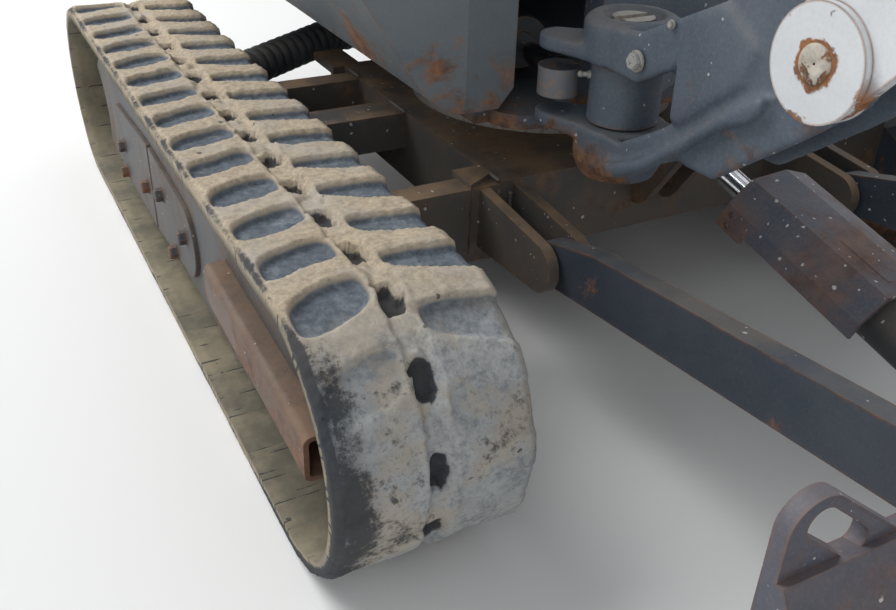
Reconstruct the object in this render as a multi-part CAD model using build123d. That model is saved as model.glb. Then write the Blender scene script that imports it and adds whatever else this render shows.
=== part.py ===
from build123d import *
import math
import os

# Mini excavator on rubber tracks, with a boom that swings to the side and a levelling blade.
# Millimetres. Z is up from the ground, the blade and boom are towards -Y, and the machine's
# own right side is towards -X. Places are counted from the slew axis.

os.makedirs("parts", exist_ok=True)

# Tracks
links = 36              # lugs in each row
trackWidth = 230.0
trackOut = 680.0        # outer plane of a track, undercarriage drawn out
idlerY = -560.0
sprocketY = 645.0
wrapR = 175.0           # to the lug tips round the idler
beltThick = 26.0
lugHigh = 12.0
lugShare = 0.5          # length of a lug in its step
lugSplit = 12.0         # each row stops this far from the belt's middle
outerLugStart = 0.129   # first lug of a row, in steps from the top of the idler
innerLugStart = 0.584

# Fits
gap = 5.0               # between moving pieces
fit = 0.4               # round a pin, a rod and a shaft
seam = 0.3              # between a soft piece and what it rests on

# House
houseHalf = 490.0
houseFront = -335.0
houseRear = 1060.0
deckZ = 560.0           # underside of the floor deck
deckThick = 16.0
sheet = 12.0            # wall of covers and panels
frameTop = 300.0        # top of the centre frame
ringTop = 375.0
ringR = 225.0
hoodTop = 985.0
podTop = 940.0
roofZ = 2240.0
roofThick = 45.0

# Swing post, right of the middle
kingX = -190.0
kingY = -476.0
kingR = 25.0
bossR = 44.0
knuckleR = 57.0
lowKnuckleZ = (362.0, 429.0)
noseZs = (432.0, 503.0)
topKnuckleZ = (506.0, 560.0)
cheekIn = 39.0          # inner face of a cheek from the post's plane
cheekThick = 12.0

# Boom, arm and bucket, in the plane of the post
footY, footZ = -822.0, 608.0            # boom foot pin
ramFootY, ramFootZ = footY + 107.0, footZ + 172.0
elbowY, elbowZ = footY - 523.0, footZ + 670.0
noseY, noseZ = footY - 1411.0, footZ + 818.0
pinR = 20.0
smallPinR = 14.0
boomHalf = 50.0
boomEye = 26.0          # half width of the boom cylinder's eyes
armHalf = 42.0
armLong = 1000.0
armLean = 10.0          # the arm leans back towards the machine, degrees
bucketHalf = 200.0
bucketDeep = 438.0      # from the bucket's pin down to its floor

trackX = trackOut - trackWidth / 2
trackIn = trackOut - trackWidth
beltR = wrapR - lugHigh
wheelR = wrapR - beltThick - fit
cheekOut = cheekIn + cheekThick
forkIn = cheekOut + gap


def box(x0, x1, y0, y1, z0, z1):
    return Pos((x0 + x1) / 2, (y0 + y1) / 2, (z0 + z1) / 2) * Box(abs(x1 - x0), abs(y1 - y0), abs(z1 - z0))


def barX(x0, x1, y, z, r):
    return Pos((x0 + x1) / 2, y, z) * Rot(0, 90, 0) * Cylinder(r, abs(x1 - x0))


def barZ(x, y, z0, z1, r):
    return Pos(x, y, (z0 + z1) / 2) * Cylinder(r, z1 - z0)


def side(points, x0, x1):
    # outline in Y and Z, pushed along X
    return extrude(Plane.YZ.offset(x0) * make_face(Polyline(points, close=True)), amount=x1 - x0)


def plan(points, z0, z1):
    # outline in X and Y, pushed up
    return extrude(Plane.XY.offset(z0) * make_face(Polyline(points, close=True)), amount=z1 - z0)


def front(points, y0, y1):
    # outline in X and Z, pushed along Y
    return extrude(Plane.XZ.offset(-y0) * make_face(Polyline(points, close=True)), amount=y0 - y1)


def link(a, b, ra, rb, x0, x1):
    # plate round two pins, in Y and Z
    pair = Pos(*a) * Circle(ra) + Pos(*b) * Circle(rb)
    return extrude(Plane.YZ.offset(x0) * make_hull(pair.edges()), amount=x1 - x0)


def along(a, b, r, start=0.0, end=None):
    # round bar on the line from a to b
    line = Vector(*b) - Vector(*a)
    stop = line.length if end is None else end
    base = Vector(*a) + line.normalized() * start
    return Plane(origin=base, z_dir=line) * Cylinder(r, stop - start, align=(Align.CENTER, Align.CENTER, Align.MIN))


def mirrored(shape):
    return mirror(shape, Plane.YZ)


def pair(shape):
    return Compound([shape, mirrored(shape)])


def slabs(centre, inner, thick):
    # the two X ranges of a pair of plates either side of a middle plane
    return (centre - inner - thick, centre - inner), (centre + inner, centre + inner + thick)


pieces = {}


def save(shape, node):
    pieces[node] = shape


# Tracks: one belt with two rows of lugs
run = sprocketY - idlerY
halfTurn = math.pi * beltR
step = 2 * (run + halfTurn) / links
lugLong = lugShare * step
lugSink = 3.0
tipDrop = wrapR - math.sqrt(wrapR ** 2 - (lugLong / 2) ** 2)


def beltLoop(r):
    return Pos((idlerY + sprocketY) / 2, wrapR) * SlotCenterToCenter(run, 2 * r)


def lugPlace(s):
    # place of a lug's outer face and its turn, at arc length s back from the top of the idler
    s = s % (2 * (run + halfTurn))
    if s < run:
        return idlerY + s, wrapR, 90.0, 0.0
    if s < run + halfTurn:
        return sprocketY, wrapR, 90 - math.degrees((s - run) / beltR), tipDrop
    if s < 2 * run + halfTurn:
        return sprocketY - (s - run - halfTurn), wrapR, -90.0, 0.0
    return idlerY, wrapR, -90 - math.degrees((s - 2 * run - halfTurn) / beltR), tipDrop


def track(x0, x1):
    # one track, x0 its outer edge
    low, high = min(x0, x1), max(x0, x1)
    solid = extrude(Plane.YZ.offset(low) * (beltLoop(beltR) - beltLoop(wheelR + fit)), amount=high - low)
    mid = (x0 + x1) / 2
    inward = math.copysign(lugSplit, x1 - x0)
    rows = [(x0, mid - inward, outerLugStart), (mid + inward, x1, innerLugStart)]
    for a, b, start in rows:
        lugs = []
        for i in range(links):
            y, z, turn, drop = lugPlace((i + start) * step)
            deep = lugHigh + lugSink - drop
            reach = wrapR - drop - deep / 2
            lugs.append(Pos((a + b) / 2, y, z) * Rot(turn, 0, 0) * Pos(0, reach, 0) * Box(abs(b - a), deep, lugLong))
        solid = solid + lugs
    return solid


save(track(trackOut, trackIn), "track_left")
save(track(-trackOut, -trackIn), "track_right")

# Side frames: hollow rails between the belt runs, open below for the rollers
railHalf = 62.0
railWall = 14.0
railIn, railOut = trackX - railHalf, trackX + railHalf
railFront, railBack = idlerY + 150.0, sprocketY - 156.0
railLow, railHigh = 66.0, 262.0
rollerR = 34.0
rollerZ = beltThick + fit + rollerR + 3
rollerHalf = railHalf - railWall
rollerYs = (-330.0, -110.0, 110.0, 330.0)
carrierDeep = 22.0      # the wall reaches down this far at each roller
topRollerR = 26.0
topRollerY = 20.0
hubR = 92.0
hoseR = 34.0
hoseY = 440.0
hoseEndX = 130.0        # half the block where the hoses meet
hoseFootInset = 38.0    # from the side frame's inner wall to the middle of the hose's foot
hoseFootX, hoseFootZ = hoseFootInset - railIn, 234.0

rail = side([(railFront, 120), (railFront + 40, railLow), (railBack - 44, railLow), (railBack, 130), (railBack, 240),
             (railBack - 44, railHigh), (railFront + 80, railHigh), (railFront, 215)], railIn, railOut)
rail = rail - side([(railFront - 5, railLow - 5), (railBack - 44, railLow - 5), (railBack - 44, 128), (railFront - 5, 128)],
                   railIn + railWall, railOut - railWall)
for y in rollerYs:
    foot = [(y - 36, railLow + 1), (y - 14, railLow - carrierDeep), (y + 14, railLow - carrierDeep), (y + 36, railLow + 1)]
    rail = rail + side(foot, railIn, railIn + railWall) + side(foot, railOut - railWall, railOut)
rail = rail + link((railBack - 64, 180), (sprocketY, wrapR), 60, hubR, railIn, railIn + railWall)
fork = side([(idlerY - 35, 150), (railFront + 10, 140), (railFront + 10, 205), (idlerY - 35, 200)], railIn, railOut)
rail = rail + (fork - box(railIn + 16, railOut - 16, idlerY - 60, railFront + 25, 90, 260))
carrier = box(-56, -44, topRollerY - 18, topRollerY + 18, railHigh - 7, 2 * wrapR - beltThick - topRollerR + 6)
rail = rail + Pos(trackX, 0, 0) * carrier + Pos(trackX, 0, 0) * mirrored(carrier)
rib = 8.0
rail = rail + box(railOut, railOut + rib, railFront + 90, railBack - 60, railHigh - 14, railHigh)
rail = rail + box(railOut, railOut + rib, -150, -138, 100, railHigh - 14)
rail = rail + box(railIn - 75, railIn + 2, 280, 356, hoseFootZ - 30, hoseFootZ)
save(pair(rail), "side_frames")

idlerHalf = 30.0
axleR = 18.0
hollow = 22.0           # rim of the idler left outside its hollow
idler = barX(trackX - idlerHalf, trackX + idlerHalf, idlerY, wrapR, wheelR)
idler = idler - barX(trackX + 11, trackX + idlerHalf + 1, idlerY, wrapR, wheelR - hollow)
idler = idler + barX(railIn + 16, railOut - 16, idlerY, wrapR, axleR)
save(pair(idler), "idlers")

rollers = []
for y in rollerYs:
    rollers.append(barX(trackX - rollerHalf, trackX + rollerHalf, y, rollerZ, rollerR))
rollers.append(barX(trackX - 44, trackX + 44, topRollerY, 2 * wrapR - beltThick - fit - topRollerR - 1, topRollerR))
save(Compound(rollers + [mirrored(r) for r in rollers]), "rollers")

# Final drives: toothed wheel, its hub outside, the travel motor inside
driveTeeth = 9
toothR = wheelR - 2
drive = barX(trackX - 12, trackX + 12, sprocketY, wrapR, toothR - 16)
teeth = []
for i in range(driveTeeth):
    teeth.append(Pos(trackX, sprocketY, wrapR) * Rot(360 / driveTeeth * i, 0, 0) * Pos(0, toothR - 18, 0) * Box(24, 36, 34))
drive = (drive + teeth) & barX(trackX - 20, trackX + 20, sprocketY, wrapR, wheelR)
drive = drive + barX(railIn + railWall, trackX + 52, sprocketY, wrapR, 88) + barX(trackX + 52, trackX + 60, sprocketY, wrapR, 72)
drive = drive - barX(trackX + 54, trackX + 61, sprocketY, wrapR, 58)
motor = barX(railIn - 50, railIn, sprocketY, wrapR, 62)
save(Compound([drive, motor, mirrored(drive), mirrored(motor)]), "final_drives")

# Step bars: hollow channels outside the side frames
stepLong = 385.0
stepMid = (-430.0, 179.0)
stepWide, stepHigh = 46.0, 62.0
stepSlope = 2.6
channel = extrude(Plane.XZ.offset(-stepLong / 2) * RectangleRounded(stepWide, stepHigh, 10), amount=stepLong)
channel = channel - extrude(Plane.XZ.offset(-stepLong / 2 - 1) * RectangleRounded(stepWide - 12, stepHigh - 12, 5), amount=stepLong + 2)
channel = Pos(railOut + stepWide / 2, *stepMid) * Rot(stepSlope, 0, 0) * channel
save(pair(channel), "step_bars")

# Centre frame with its telescoping cross beams, the blade's ears and the motor hoses' clips
frameHalf = 270.0
frameLow = 182.0
frontBeam = (-325.0, -283.0)
rearBeam = (176.0, 220.0)
spreadTube = (-18.0, 41.0)
lowTube = (57.0, 120.0)
frameRear = rearBeam[1] + 40
padY = (262.0, 350.0)
bladePinY, bladePinZ = -475.0, 246.0
bladePinR = 16.0
bladeArmX = (252.0, 280.0)
earThick = 16.0
bladeRamY, bladeRamZ = -400.0, 341.0

centre = box(-frameHalf, frameHalf, frontBeam[0], frameRear, 268, frameTop)
centre = centre + box(-frameHalf, -frameHalf + 14, frontBeam[0], frameRear, frameLow, 290)
centre = centre + box(frameHalf - 14, frameHalf, frontBeam[0], frameRear, frameLow, 290)
for y0, y1 in (frontBeam, rearBeam):
    centre = centre + box(-railIn, railIn, y0, y1, frameLow, 296)
for x0, x1 in ((-railIn, -frameHalf + 14), (frameHalf - 14, railIn)):
    centre = centre + box(x0, x1, spreadTube[0], spreadTube[1], 238, 298) + box(x0, x1, lowTube[0], lowTube[1], 210, 270)
centre = centre + box(-90, 90, frameRear - 5, hoseY - 20, 262, 280) + box(-hoseEndX, hoseEndX, hoseY - 30, hoseY + 70, 250, 335)
for x0, x1 in ((-292, -236), (236, 292)):
    centre = centre + box(x0, x1, padY[0] - 15, padY[1], 286, 300) + box(x0, x1, padY[0] - 15, padY[0] - 3, 250, 300)
for s in (-1, 1):
    for x in (bladeArmX[0] - gap - earThick, bladeArmX[1] + gap):
        ear = link((frontBeam[0] + 20, 250), (bladePinY, bladePinZ), 46, 34, x, x + earThick)
        centre = centre + (ear if s > 0 else mirrored(ear))
    pin = barX(bladeArmX[0] - gap - earThick + 1, bladeArmX[1] + gap + earThick - 1, bladePinY, bladePinZ, bladePinR)
    centre = centre + (pin if s > 0 else mirrored(pin))
fold = plan([(-frameHalf - 46, -327), (-frameHalf - 46, -270), (-frameHalf, -270), (-frameHalf, -300)], 196, 304)
centre = centre + fold + mirrored(fold)
for x0, x1 in slabs(0, 20, 14):
    centre = centre + link((-330, 262), (bladeRamY, bladeRamZ), 36, 24, x0, x1)
save(centre, "centre_frame")

slewRing = barZ(0, 0, frameTop, ringTop - 20, ringR) - barZ(0, 0, frameTop - 1, ringTop, ringR - 60)
save(slewRing, "slew_ring")

hoseLine = FilletPolyline([(hoseFootX, 318, hoseFootZ), (hoseFootX, 318, 284), (-205, 470, 294), (-hoseEndX, 470, 294)], radius=38)
hose = sweep(Plane(origin=hoseLine @ 0, z_dir=hoseLine % 0) * RegularPolygon(hoseR, 12), path=hoseLine)
save(pair(hose), "travel_hoses")

# Blade, raised
armSlope = 7.2          # blade arms rise towards the front, degrees
bladeY = -1085.0
bladeHalf = 513.0
boardTop, boardLow = 372.0, 190.0
armRise = math.tan(math.radians(armSlope))
bladeRodY, bladeRodZ = -930.0, 222.0


def armZ(y):
    return bladePinZ + (bladePinY - y) * armRise


bladeArm = side([(bladePinY + 8, armZ(bladePinY) - 30), (bladeY, armZ(bladeY) - 34), (bladeY, armZ(bladeY) + 40),
                 (bladePinY - 90, armZ(bladePinY - 90) + 44), (bladePinY + 6, armZ(bladePinY) + 30)], *bladeArmX)
bladeArm = bladeArm + barX(*bladeArmX, bladePinY, bladePinZ, 30)
bladeArm = bladeArm - barX(bladeArmX[0] - 5, bladeArmX[1] + 5, bladePinY, bladePinZ, bladePinR + fit)
cross = box(-bladeArmX[0] - 1, bladeArmX[0] + 1, -1020, -980, armZ(-1000) - 25, armZ(-1000) + 25)
bladeArms = bladeArm + mirrored(bladeArm) + cross
save(bladeArms - box(-300, 300, bladeY - 200, bladeY, 100, 500), "blade_arms")

board = side([(bladeY, boardTop), (bladeY - 20, boardTop + 3), (bladeY - 48, boardTop - 50), (bladeY - 58, 280),
              (bladeY - 48, boardLow + 45), (bladeY - 30, boardLow), (bladeY - 14, boardLow), (bladeY - 30, boardLow + 50),
              (bladeY - 38, 280), (bladeY - 28, boardTop - 50)], -bladeHalf, bladeHalf)
board = board + box(-bladeHalf, bladeHalf, bladeY - 45, bladeY, 208, 292)
for x0, x1 in slabs(0, 20, 14):
    board = board + link((bladeY - 10, 245), (bladeRodY, bladeRodZ), 40, 28, x0, x1)
board = board + barX(-30, 30, bladeRodY, bladeRodZ, smallPinR)

# Tie-down lugs at the board's ends: a rounded plate with a slot, doubled lower down
lugThick = 14.0
lugSlotLong, lugSlotWide = 76.0, 26.0
lugEdge = [(-bladeHalf, 205), (-bladeHalf, 467), (-385, 363), (-378, 205)]
lugFace = make_face(Polyline(lugEdge, close=True))
lugFace = fillet(lugFace.vertices().sort_by(Axis.Y)[-1:], 26)
slot = Pos(-465, 399) * Rot(0, 0, -40) * SlotOverall(lugSlotLong, lugSlotWide)
lug = extrude(Plane.XZ.offset(-bladeY) * (lugFace - slot), amount=lugThick)
layer = [(-486, 210), (-486, 350), (-474, 358), (-400, 292), (-384, 210)]
lug = lug + extrude(Plane.XZ.offset(-bladeY + lugThick) * make_face(Polyline(layer, close=True)), amount=12)
save(board + lug + mirrored(lug), "blade_board")


# Cylinders: a barrel pinned at a, and a rod whose eye is at b
def turned(p, r, half, axis):
    if axis == "X":
        return barX(p[0] - half, p[0] + half, p[1], p[2], r)
    return barZ(p[0], p[1], p[2] - half, p[2] + half, r)


def cylinder(a, b, bore, rodR, barrelLong, eyeR, half, travelIn, axis="X", lugR=28.0):
    # travelIn is how far the rod can still move in, lugR the radius of the lugs at a
    total = (Vector(*b) - Vector(*a)).length
    barrel = along(a, b, bore + 6, lugR + gap + 2, barrelLong) + turned(a, eyeR, half, axis)
    barrel = barrel + along(a, b, half - 1, 0, lugR + gap + 4)
    barrel = barrel + along(a, b, bore + 9, barrelLong - 34, barrelLong + 6)
    barrel = barrel - along(a, b, rodR + fit, lugR + 16, barrelLong + 20) - turned(a, smallPinR + fit, half + 5, axis)
    rod = along(a, b, rodR, lugR + 20 + travelIn, total - eyeR + 4) + turned(b, eyeR, half, axis)
    return barrel, rod


bladeRamEye = (0.0, bladeRamY, bladeRamZ)
bladeRamFoot = (0.0, bladeRodY, bladeRodZ)
barrel, rod = cylinder(bladeRamFoot, bladeRamEye, 29, 16, 360, 24, 15, 20)
save(barrel, "blade_cylinder")
save(rod, "blade_cylinder_rod")

# Guard over the blade cylinder: a plate bent down along its right side, with a lobed corner
guardLong = 240.0
guardHoleR = 4.5
guardAt = -663.0
ramSlope = (bladeRamZ - bladeRodZ) / (bladeRamY - bladeRodY)
guardTilt = math.degrees(math.atan(ramSlope))
guardMid = bladeRamZ + ramSlope * (guardAt - bladeRamY)
guardLine = [(-66, -6), (-58, 14), (-30, 46), (26, 50), (66, 36), (66, 30), (25, 44), (-27, 40), (-53, 11), (-61, -8)]
guard = extrude(Plane.XZ * make_face(Polyline(guardLine, close=True)), amount=guardLong / 2, both=True)
lobe = Pos(-64, guardLong / 2 - 24, -9) * Rot(0, 10, 0) * Box(6, 46, 14)
guard = guard + lobe + Pos(0, -guardLong / 4, 41.6) * Box(20, 80, 13)
for y, z in ((guardLong / 2 - 14, 5), (guardLong / 2 - 16, -9)):
    guard = guard - Pos(-62, y, z) * Rot(0, 90, 0) * Cylinder(guardHoleR, 24)
save(Pos(0, guardAt, guardMid) * Rot(guardTilt, 0, 0) * guard, "blade_cylinder_guard")

# House: base plate, walls and the nose that carries the swing post
ramX, ramY, ramZ = -115.0, 70.0, 467.0
nose = barZ(kingX, kingY, *noseZs, bossR)
nose = nose + plan([(kingX + 10, kingY + 38), (kingX + 52, kingY + 92), (kingX + 62, houseFront + 39), (60, houseFront + 39),
                    (60, houseFront - 10), (kingX + 84, kingY + 38), (kingX + 34, kingY - 16)], noseZs[0] + 6, noseZs[1] - 6)
nose = nose - barZ(kingX, kingY, 300, 600, kingR + fit)
revolving = box(-300, 300, -300, 548, 380, 400) + box(-132, 219, houseFront - 2, houseFront + 39, 380, 545) + nose
revolving = revolving + barZ(-228, -300, 380, 400, 50) + barZ(228, -300, 380, 400, 50)
revolving = revolving + barZ(0, 0, ringTop - 20 + fit, 382, ringR - 12)
for x in (-60.0, 120.0):
    revolving = revolving + box(x, x + 16, -300, 400, 398, 545) + box(x, x + 16, 390, 880, 380, 410)
for z in (ramZ - 42, ramZ + 22):
    revolving = revolving + box(ramX - 22, -55, ramY - 19, ramY + 26, z, z + 20)
revolving = revolving + barZ(ramX, ramY, ramZ - 30, ramZ + 30, smallPinR)
save(revolving, "revolving_frame")

# Right cover: a shell with a folded front corner, closed in front by a narrow flange
coverTop = 905.0
coverIn = -262.0
coverFold = -330.0
cover = [(-284, 411), (-350, 411), (-385, 436), (-houseHalf, 610), (-houseHalf, 870), (-465, coverTop), (-230, coverTop),
         (-230, deckZ + deckThick + 1), (coverIn, deckZ + deckThick + 1), (coverIn, 437)]
inner = [(-284, 423), (-346, 423), (-375, 444), (-houseHalf + sheet, 613), (-houseHalf + sheet, 865), (-460, coverTop - sheet),
         (-242, coverTop - sheet), (-242, deckZ + deckThick + 13), (coverIn - sheet, deckZ + deckThick + 13), (coverIn - sheet, 437)]
rightCover = front(cover, houseFront, 380) - front(inner, houseFront + sheet, 368)
corner = plan([(coverFold, houseFront - 1), (-houseHalf - 1, houseFront - 1), (-houseHalf - 1, houseFront + 46)], 400, 930)
cornerBack = plan([(coverFold, houseFront + sheet - 1), (-houseHalf + sheet, houseFront + sheet - 1),
                   (-houseHalf + sheet, houseFront + 46 + sheet - 1)], 400, coverTop - sheet)
fill = (front(cover, houseFront + sheet - 1, houseFront + 60) & cornerBack) - corner
rightCover = (rightCover - corner) + fill
save(rightCover, "right_cover")

leftSkirt = [(222, 400), (350, 400), (374, 420), (470, deckZ), (222, deckZ)]
leftInner = [(234, 390), (345, 390), (362, 424), (455, deckZ - sheet), (234, deckZ - sheet)]
save(front(leftSkirt, houseFront, 380) - front(leftInner, houseFront + sheet, 368), "left_skirt")
save(box(-229, houseHalf, houseFront, 380, deckZ, deckZ + deckThick), "floor_deck")
save(box(-200, 220, 570, 870, 410, 760), "engine")


# Rear: the counterweight and the hood share one rounded outline
def rearFace(inset, frontY):
    half = houseHalf - inset
    tail = houseRear - inset
    a, b, c, d = (-half, frontY), (-half, 780), (-230, tail), (230, tail)
    e, f = (half, 780), (half, frontY)
    right = ThreePointArc(b, (-half + 80, 955), c)
    left = ThreePointArc(d, (half - 80, 955), e)
    return make_face([Line(a, b), right, Line(c, d), left, Line(e, f), Line(f, a)])


weightTop = 700.0
weight = extrude(Plane.XY.offset(420) * rearFace(0, 556), amount=weightTop - 420)
weight = weight - extrude(Plane.XY.offset(415) * (rearFace(70, 550) & Pos(0, 700) * Rectangle(900, 400)), amount=300)
save(weight, "counterweight")

panel = box(-houseHalf, -217, 382, 556, 420, podTop) - box(-houseHalf + sheet, -229, 394, 544, 415, podTop - sheet)
save(Compound([panel, box(houseHalf - sheet, houseHalf, 382, 556, 420, podTop)]), "side_panels")

hingeY, hingeZ = 558.0, hoodTop + 14.0
hingeR, hingePinR = 9.0, 5.0
hingeXs = (-170.0, 300.0)
hingeLong = 40.0
hoodLow = weightTop + gap
hood = extrude(Plane.XY.offset(hoodLow) * rearFace(0, 562), amount=hoodTop - hoodLow)
hood = hood - extrude(Plane.XY.offset(hoodLow - 5) * rearFace(sheet, 550), amount=hoodTop - sheet - hoodLow + 5)
louvreHigh = 12.0
for i in range(6):
    z = hoodLow + 70 + 26 * i
    hood = hood - box(-210, 210, houseRear - 60, houseRear + 10, z, z + louvreHigh)
    hood = hood - box(-houseHalf - 5, -houseHalf + 40, 600, 740, z, z + louvreHigh)
    hood = hood - box(houseHalf - 40, houseHalf + 5, 600, 740, z, z + louvreHigh)
for x in hingeXs:
    strap = box(x, x + hingeLong, hingeY + 2, hingeY + 34, hoodTop - 3, hingeZ - 3)
    hood = hood + strap + barX(x, x + hingeLong, hingeY, hingeZ, hingeR)
    hood = hood - barX(x - 1, x + hingeLong + 1, hingeY, hingeZ, hingePinR + fit)
save(hood, "engine_hood")

# Seat base, with the posts and pins of the hood's hinges
seatX = 60.0
postY = 530.0
seatBase = box(-217, houseHalf - sheet, 382, 552, deckZ, podTop) - box(-204, houseHalf - 25, 394, 540, deckZ - 5, podTop - sheet)
seatBase = seatBase + box(seatX - 200, seatX + 200, 90, 384, deckZ + deckThick, podTop)
for x in hingeXs:
    seatBase = seatBase + link((postY, podTop), (hingeY, hingeZ), 12, 8, x - gap - 11, x - gap)
    seatBase = seatBase + barX(x - gap - 11, x + hingeLong, hingeY, hingeZ, hingePinR)
save(seatBase, "seat_base")

# Seat, consoles and travel levers
cushionHigh = 85.0
backTilt = -10.0
cushion = extrude(Plane.XY.offset(podTop + seam) * RectangleRounded(450, 430, 60), amount=cushionHigh)
backrest = extrude(Plane.XZ * RectangleRounded(420, 470, 90), amount=42, both=True)
save(Pos(seatX, 280, 0) * cushion + Pos(seatX, 500, podTop + 300) * Rot(backTilt, 0, 0) * backrest, "seat")

consoleX = 300.0        # from the seat's middle
consoleHigh = 60.0
consoleLow = podTop + 60
gripZ = consoleLow + consoleHigh + 140
consoles = []
for x in (seatX - consoleX, seatX + consoleX):
    body = box(x - 50, x + 50, 60, 400, consoleLow, consoleLow + consoleHigh) + box(x - 32, x + 32, 395, 440, podTop, consoleLow + 30)
    stick = barZ(x, 110, consoleLow + consoleHigh - 1, gripZ, 9) + barZ(x, 110, gripZ - 55, gripZ + 25, 19)
    consoles.append(body + stick)
save(Compound(consoles), "joystick_consoles")

leverTop = 1085.0
levers = []
for x in (seatX - 70, seatX + 70):
    foot = (x, -150, deckZ + deckThick + 12)
    top = (x, -60, leverTop)
    pedal = box(x - 40, x + 40, -250, -120, deckZ + deckThick, deckZ + deckThick + 22)
    levers.append(pedal + along(foot, top, 9) + along(foot, top, 17, leverTop - deckZ - 110))
save(Compound(levers), "travel_levers")

# Canopy: four posts of box tube, joined under the roof
postX, rearPostY, frontPostY = 450.0, 515.0, -265.0
postWide, postDeep = 44.0, 50.0
beamHigh = 40.0
canopy = box(-postX, postX, rearPostY - 20, rearPostY + 20, roofZ - beamHigh, roofZ)
canopy = canopy + box(-postX, postX, frontPostY - 20, frontPostY + 20, roofZ - beamHigh, roofZ)
for s in (-1, 1):
    low = coverTop if s < 0 else deckZ + deckThick
    for y, z in ((rearPostY, podTop), (frontPostY, low)):
        post = extrude(Plane.XY.offset(z) * RectangleRounded(postWide, postDeep, 10), amount=roofZ - z)
        canopy = canopy + Pos(s * postX, y, 0) * post + box(s * postX - 36, s * postX + 36, y - 34, y + 34, z, z + 10)
    canopy = canopy + box(s * postX - 16, s * postX + 16, frontPostY, rearPostY, roofZ - beamHigh, roofZ)
canopy = canopy + box(postX - 12, postX + 12, frontPostY, frontPostY + 300, 1150, 1180)
canopy = canopy + box(postX - 12, postX + 12, frontPostY + 280, frontPostY + 304, deckZ + deckThick, 1180)
save(canopy, "canopy_frame")
roof = extrude(Plane.XY.offset(roofZ) * RectangleRounded(2 * houseHalf, 1010, 70), amount=roofThick - 15)
roof = roof + extrude(Plane.XY.offset(roofZ + roofThick - 16) * RectangleRounded(2 * houseHalf - 90, 920, 60), amount=16)
save(Pos(0, 155, 0) * roof, "canopy_roof")

# Swing bracket: two knuckles on the post and two cheeks with thick lower rims
bracket = barZ(kingX, kingY, lowKnuckleZ[0] + 20, lowKnuckleZ[1], knuckleR)
bracket = bracket + barZ(kingX, kingY, lowKnuckleZ[0] + 10, lowKnuckleZ[0] + 21, knuckleR - 4)
bracket = bracket + barZ(kingX, kingY, lowKnuckleZ[0], lowKnuckleZ[0] + 11, knuckleR - 8)
bracket = bracket + barZ(kingX, kingY, topKnuckleZ[0], topKnuckleZ[1] - 8, knuckleR)
bracket = bracket + Pos(kingX, kingY, topKnuckleZ[1] - 4) * Cone(knuckleR, knuckleR - 8, 8)
cheek = [(kingY, topKnuckleZ[0]), (kingY, topKnuckleZ[1] - 8), (-553, 563), (-681, 627), (ramFootY + 33, ramFootZ - 25),
         (ramFootY + 33, ramFootZ + 8), (ramFootY + 12, ramFootZ + 33), (ramFootY - 18, ramFootZ + 30), (footY - 44, footZ + 28),
         (footY - 50, footZ - 10), (footY - 38, footZ - 32), (-797, 523), (-697, 446), (-650, 444), (-640, 455), (-585, 414),
         (-530, 388), (kingY, 384), (kingY, lowKnuckleZ[1]), (-536, lowKnuckleZ[1]), (-606, 470), (-628, 485), (-628, 548),
         (-596, 528), (-556, topKnuckleZ[0])]
panel = [(-624, 553), (-624, 488), (-639, 489), (-721, 555), (-733, 592), (-681, 622), (-640, 602)]
rim = [(-526, 384), (-560, 396), (-601, 420), (-660, 466), (-693, 496), (-718, 513), (-743, 525), (-756, 540), (-761, 556),
       (-746, 552), (-708, 525), (-657, 481), (-592, 432), (-548, 410), (-520, 402)]
rimThick = 13.0
panelThick = 5.0
for x0, x1 in slabs(kingX, cheekIn, cheekThick):
    bracket = bracket + side(cheek, x0, x1)
for x0, x1 in slabs(kingX, cheekOut - 1, rimThick + 1):
    bracket = bracket + side(rim, x0, x1)
for x0, x1 in slabs(kingX, cheekOut - 1, panelThick + 1):
    bracket = bracket + side(panel, x0, x1)
webLine = [(-530, 392), (-585, 416), (-640, 458), (-730, 532), (-724, 572), (-650, 540), (-646, 604), (-560, 562), (-545, 540),
           (-606, 548), (-618, 482), (-545, 424)]
bracket = bracket + side(webLine, kingX - cheekIn - 1, kingX + cheekIn + 1)
leverX, leverY, leverZ = kingX - 50.0, kingY + 72.0, ramZ
for z0, z1 in ((topKnuckleZ[0], topKnuckleZ[0] + 20), (lowKnuckleZ[1] - 20, lowKnuckleZ[1])):
    ear = Pos(kingX, kingY) * Circle(50) + Pos(leverX, leverY) * Circle(27)
    bracket = bracket + extrude(Plane.XY.offset(z0) * make_hull(ear.edges()), amount=z1 - z0)
bracket = bracket - barZ(kingX, kingY, 340, 580, kingR + fit) - barZ(kingX, kingY, topKnuckleZ[1] - 8, topKnuckleZ[1] + 1, 36)
bracket = bracket - barZ(kingX, kingY, lowKnuckleZ[1], topKnuckleZ[0], bossR + 12)
bracket = bracket - barX(kingX - 60, kingX + 60, footY, footZ, pinR + fit)
for x0, x1 in slabs(kingX, boomEye + gap, cheekIn - boomEye - gap + 1):
    bracket = bracket + barX(x0, x1, ramFootY, ramFootZ, 26)
bracket = bracket + barX(kingX - cheekOut, kingX + cheekOut, ramFootY, ramFootZ, smallPinR)
save(bracket, "swing_bracket")
kingPin = barZ(kingX, kingY, lowKnuckleZ[0] - 6, topKnuckleZ[1] - 3, kingR)
save(kingPin - box(kingX - 30, kingX + 30, kingY - 6, kingY + 6, topKnuckleZ[1] - 8, topKnuckleZ[1]), "king_pin")
barrel, rod = cylinder((ramX, ramY, ramZ), (leverX, leverY, leverZ), 27, 15, 325, 26, 18, 80, "Z")
save(barrel, "swing_cylinder")
save(rod, "swing_cylinder_rod")

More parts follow.
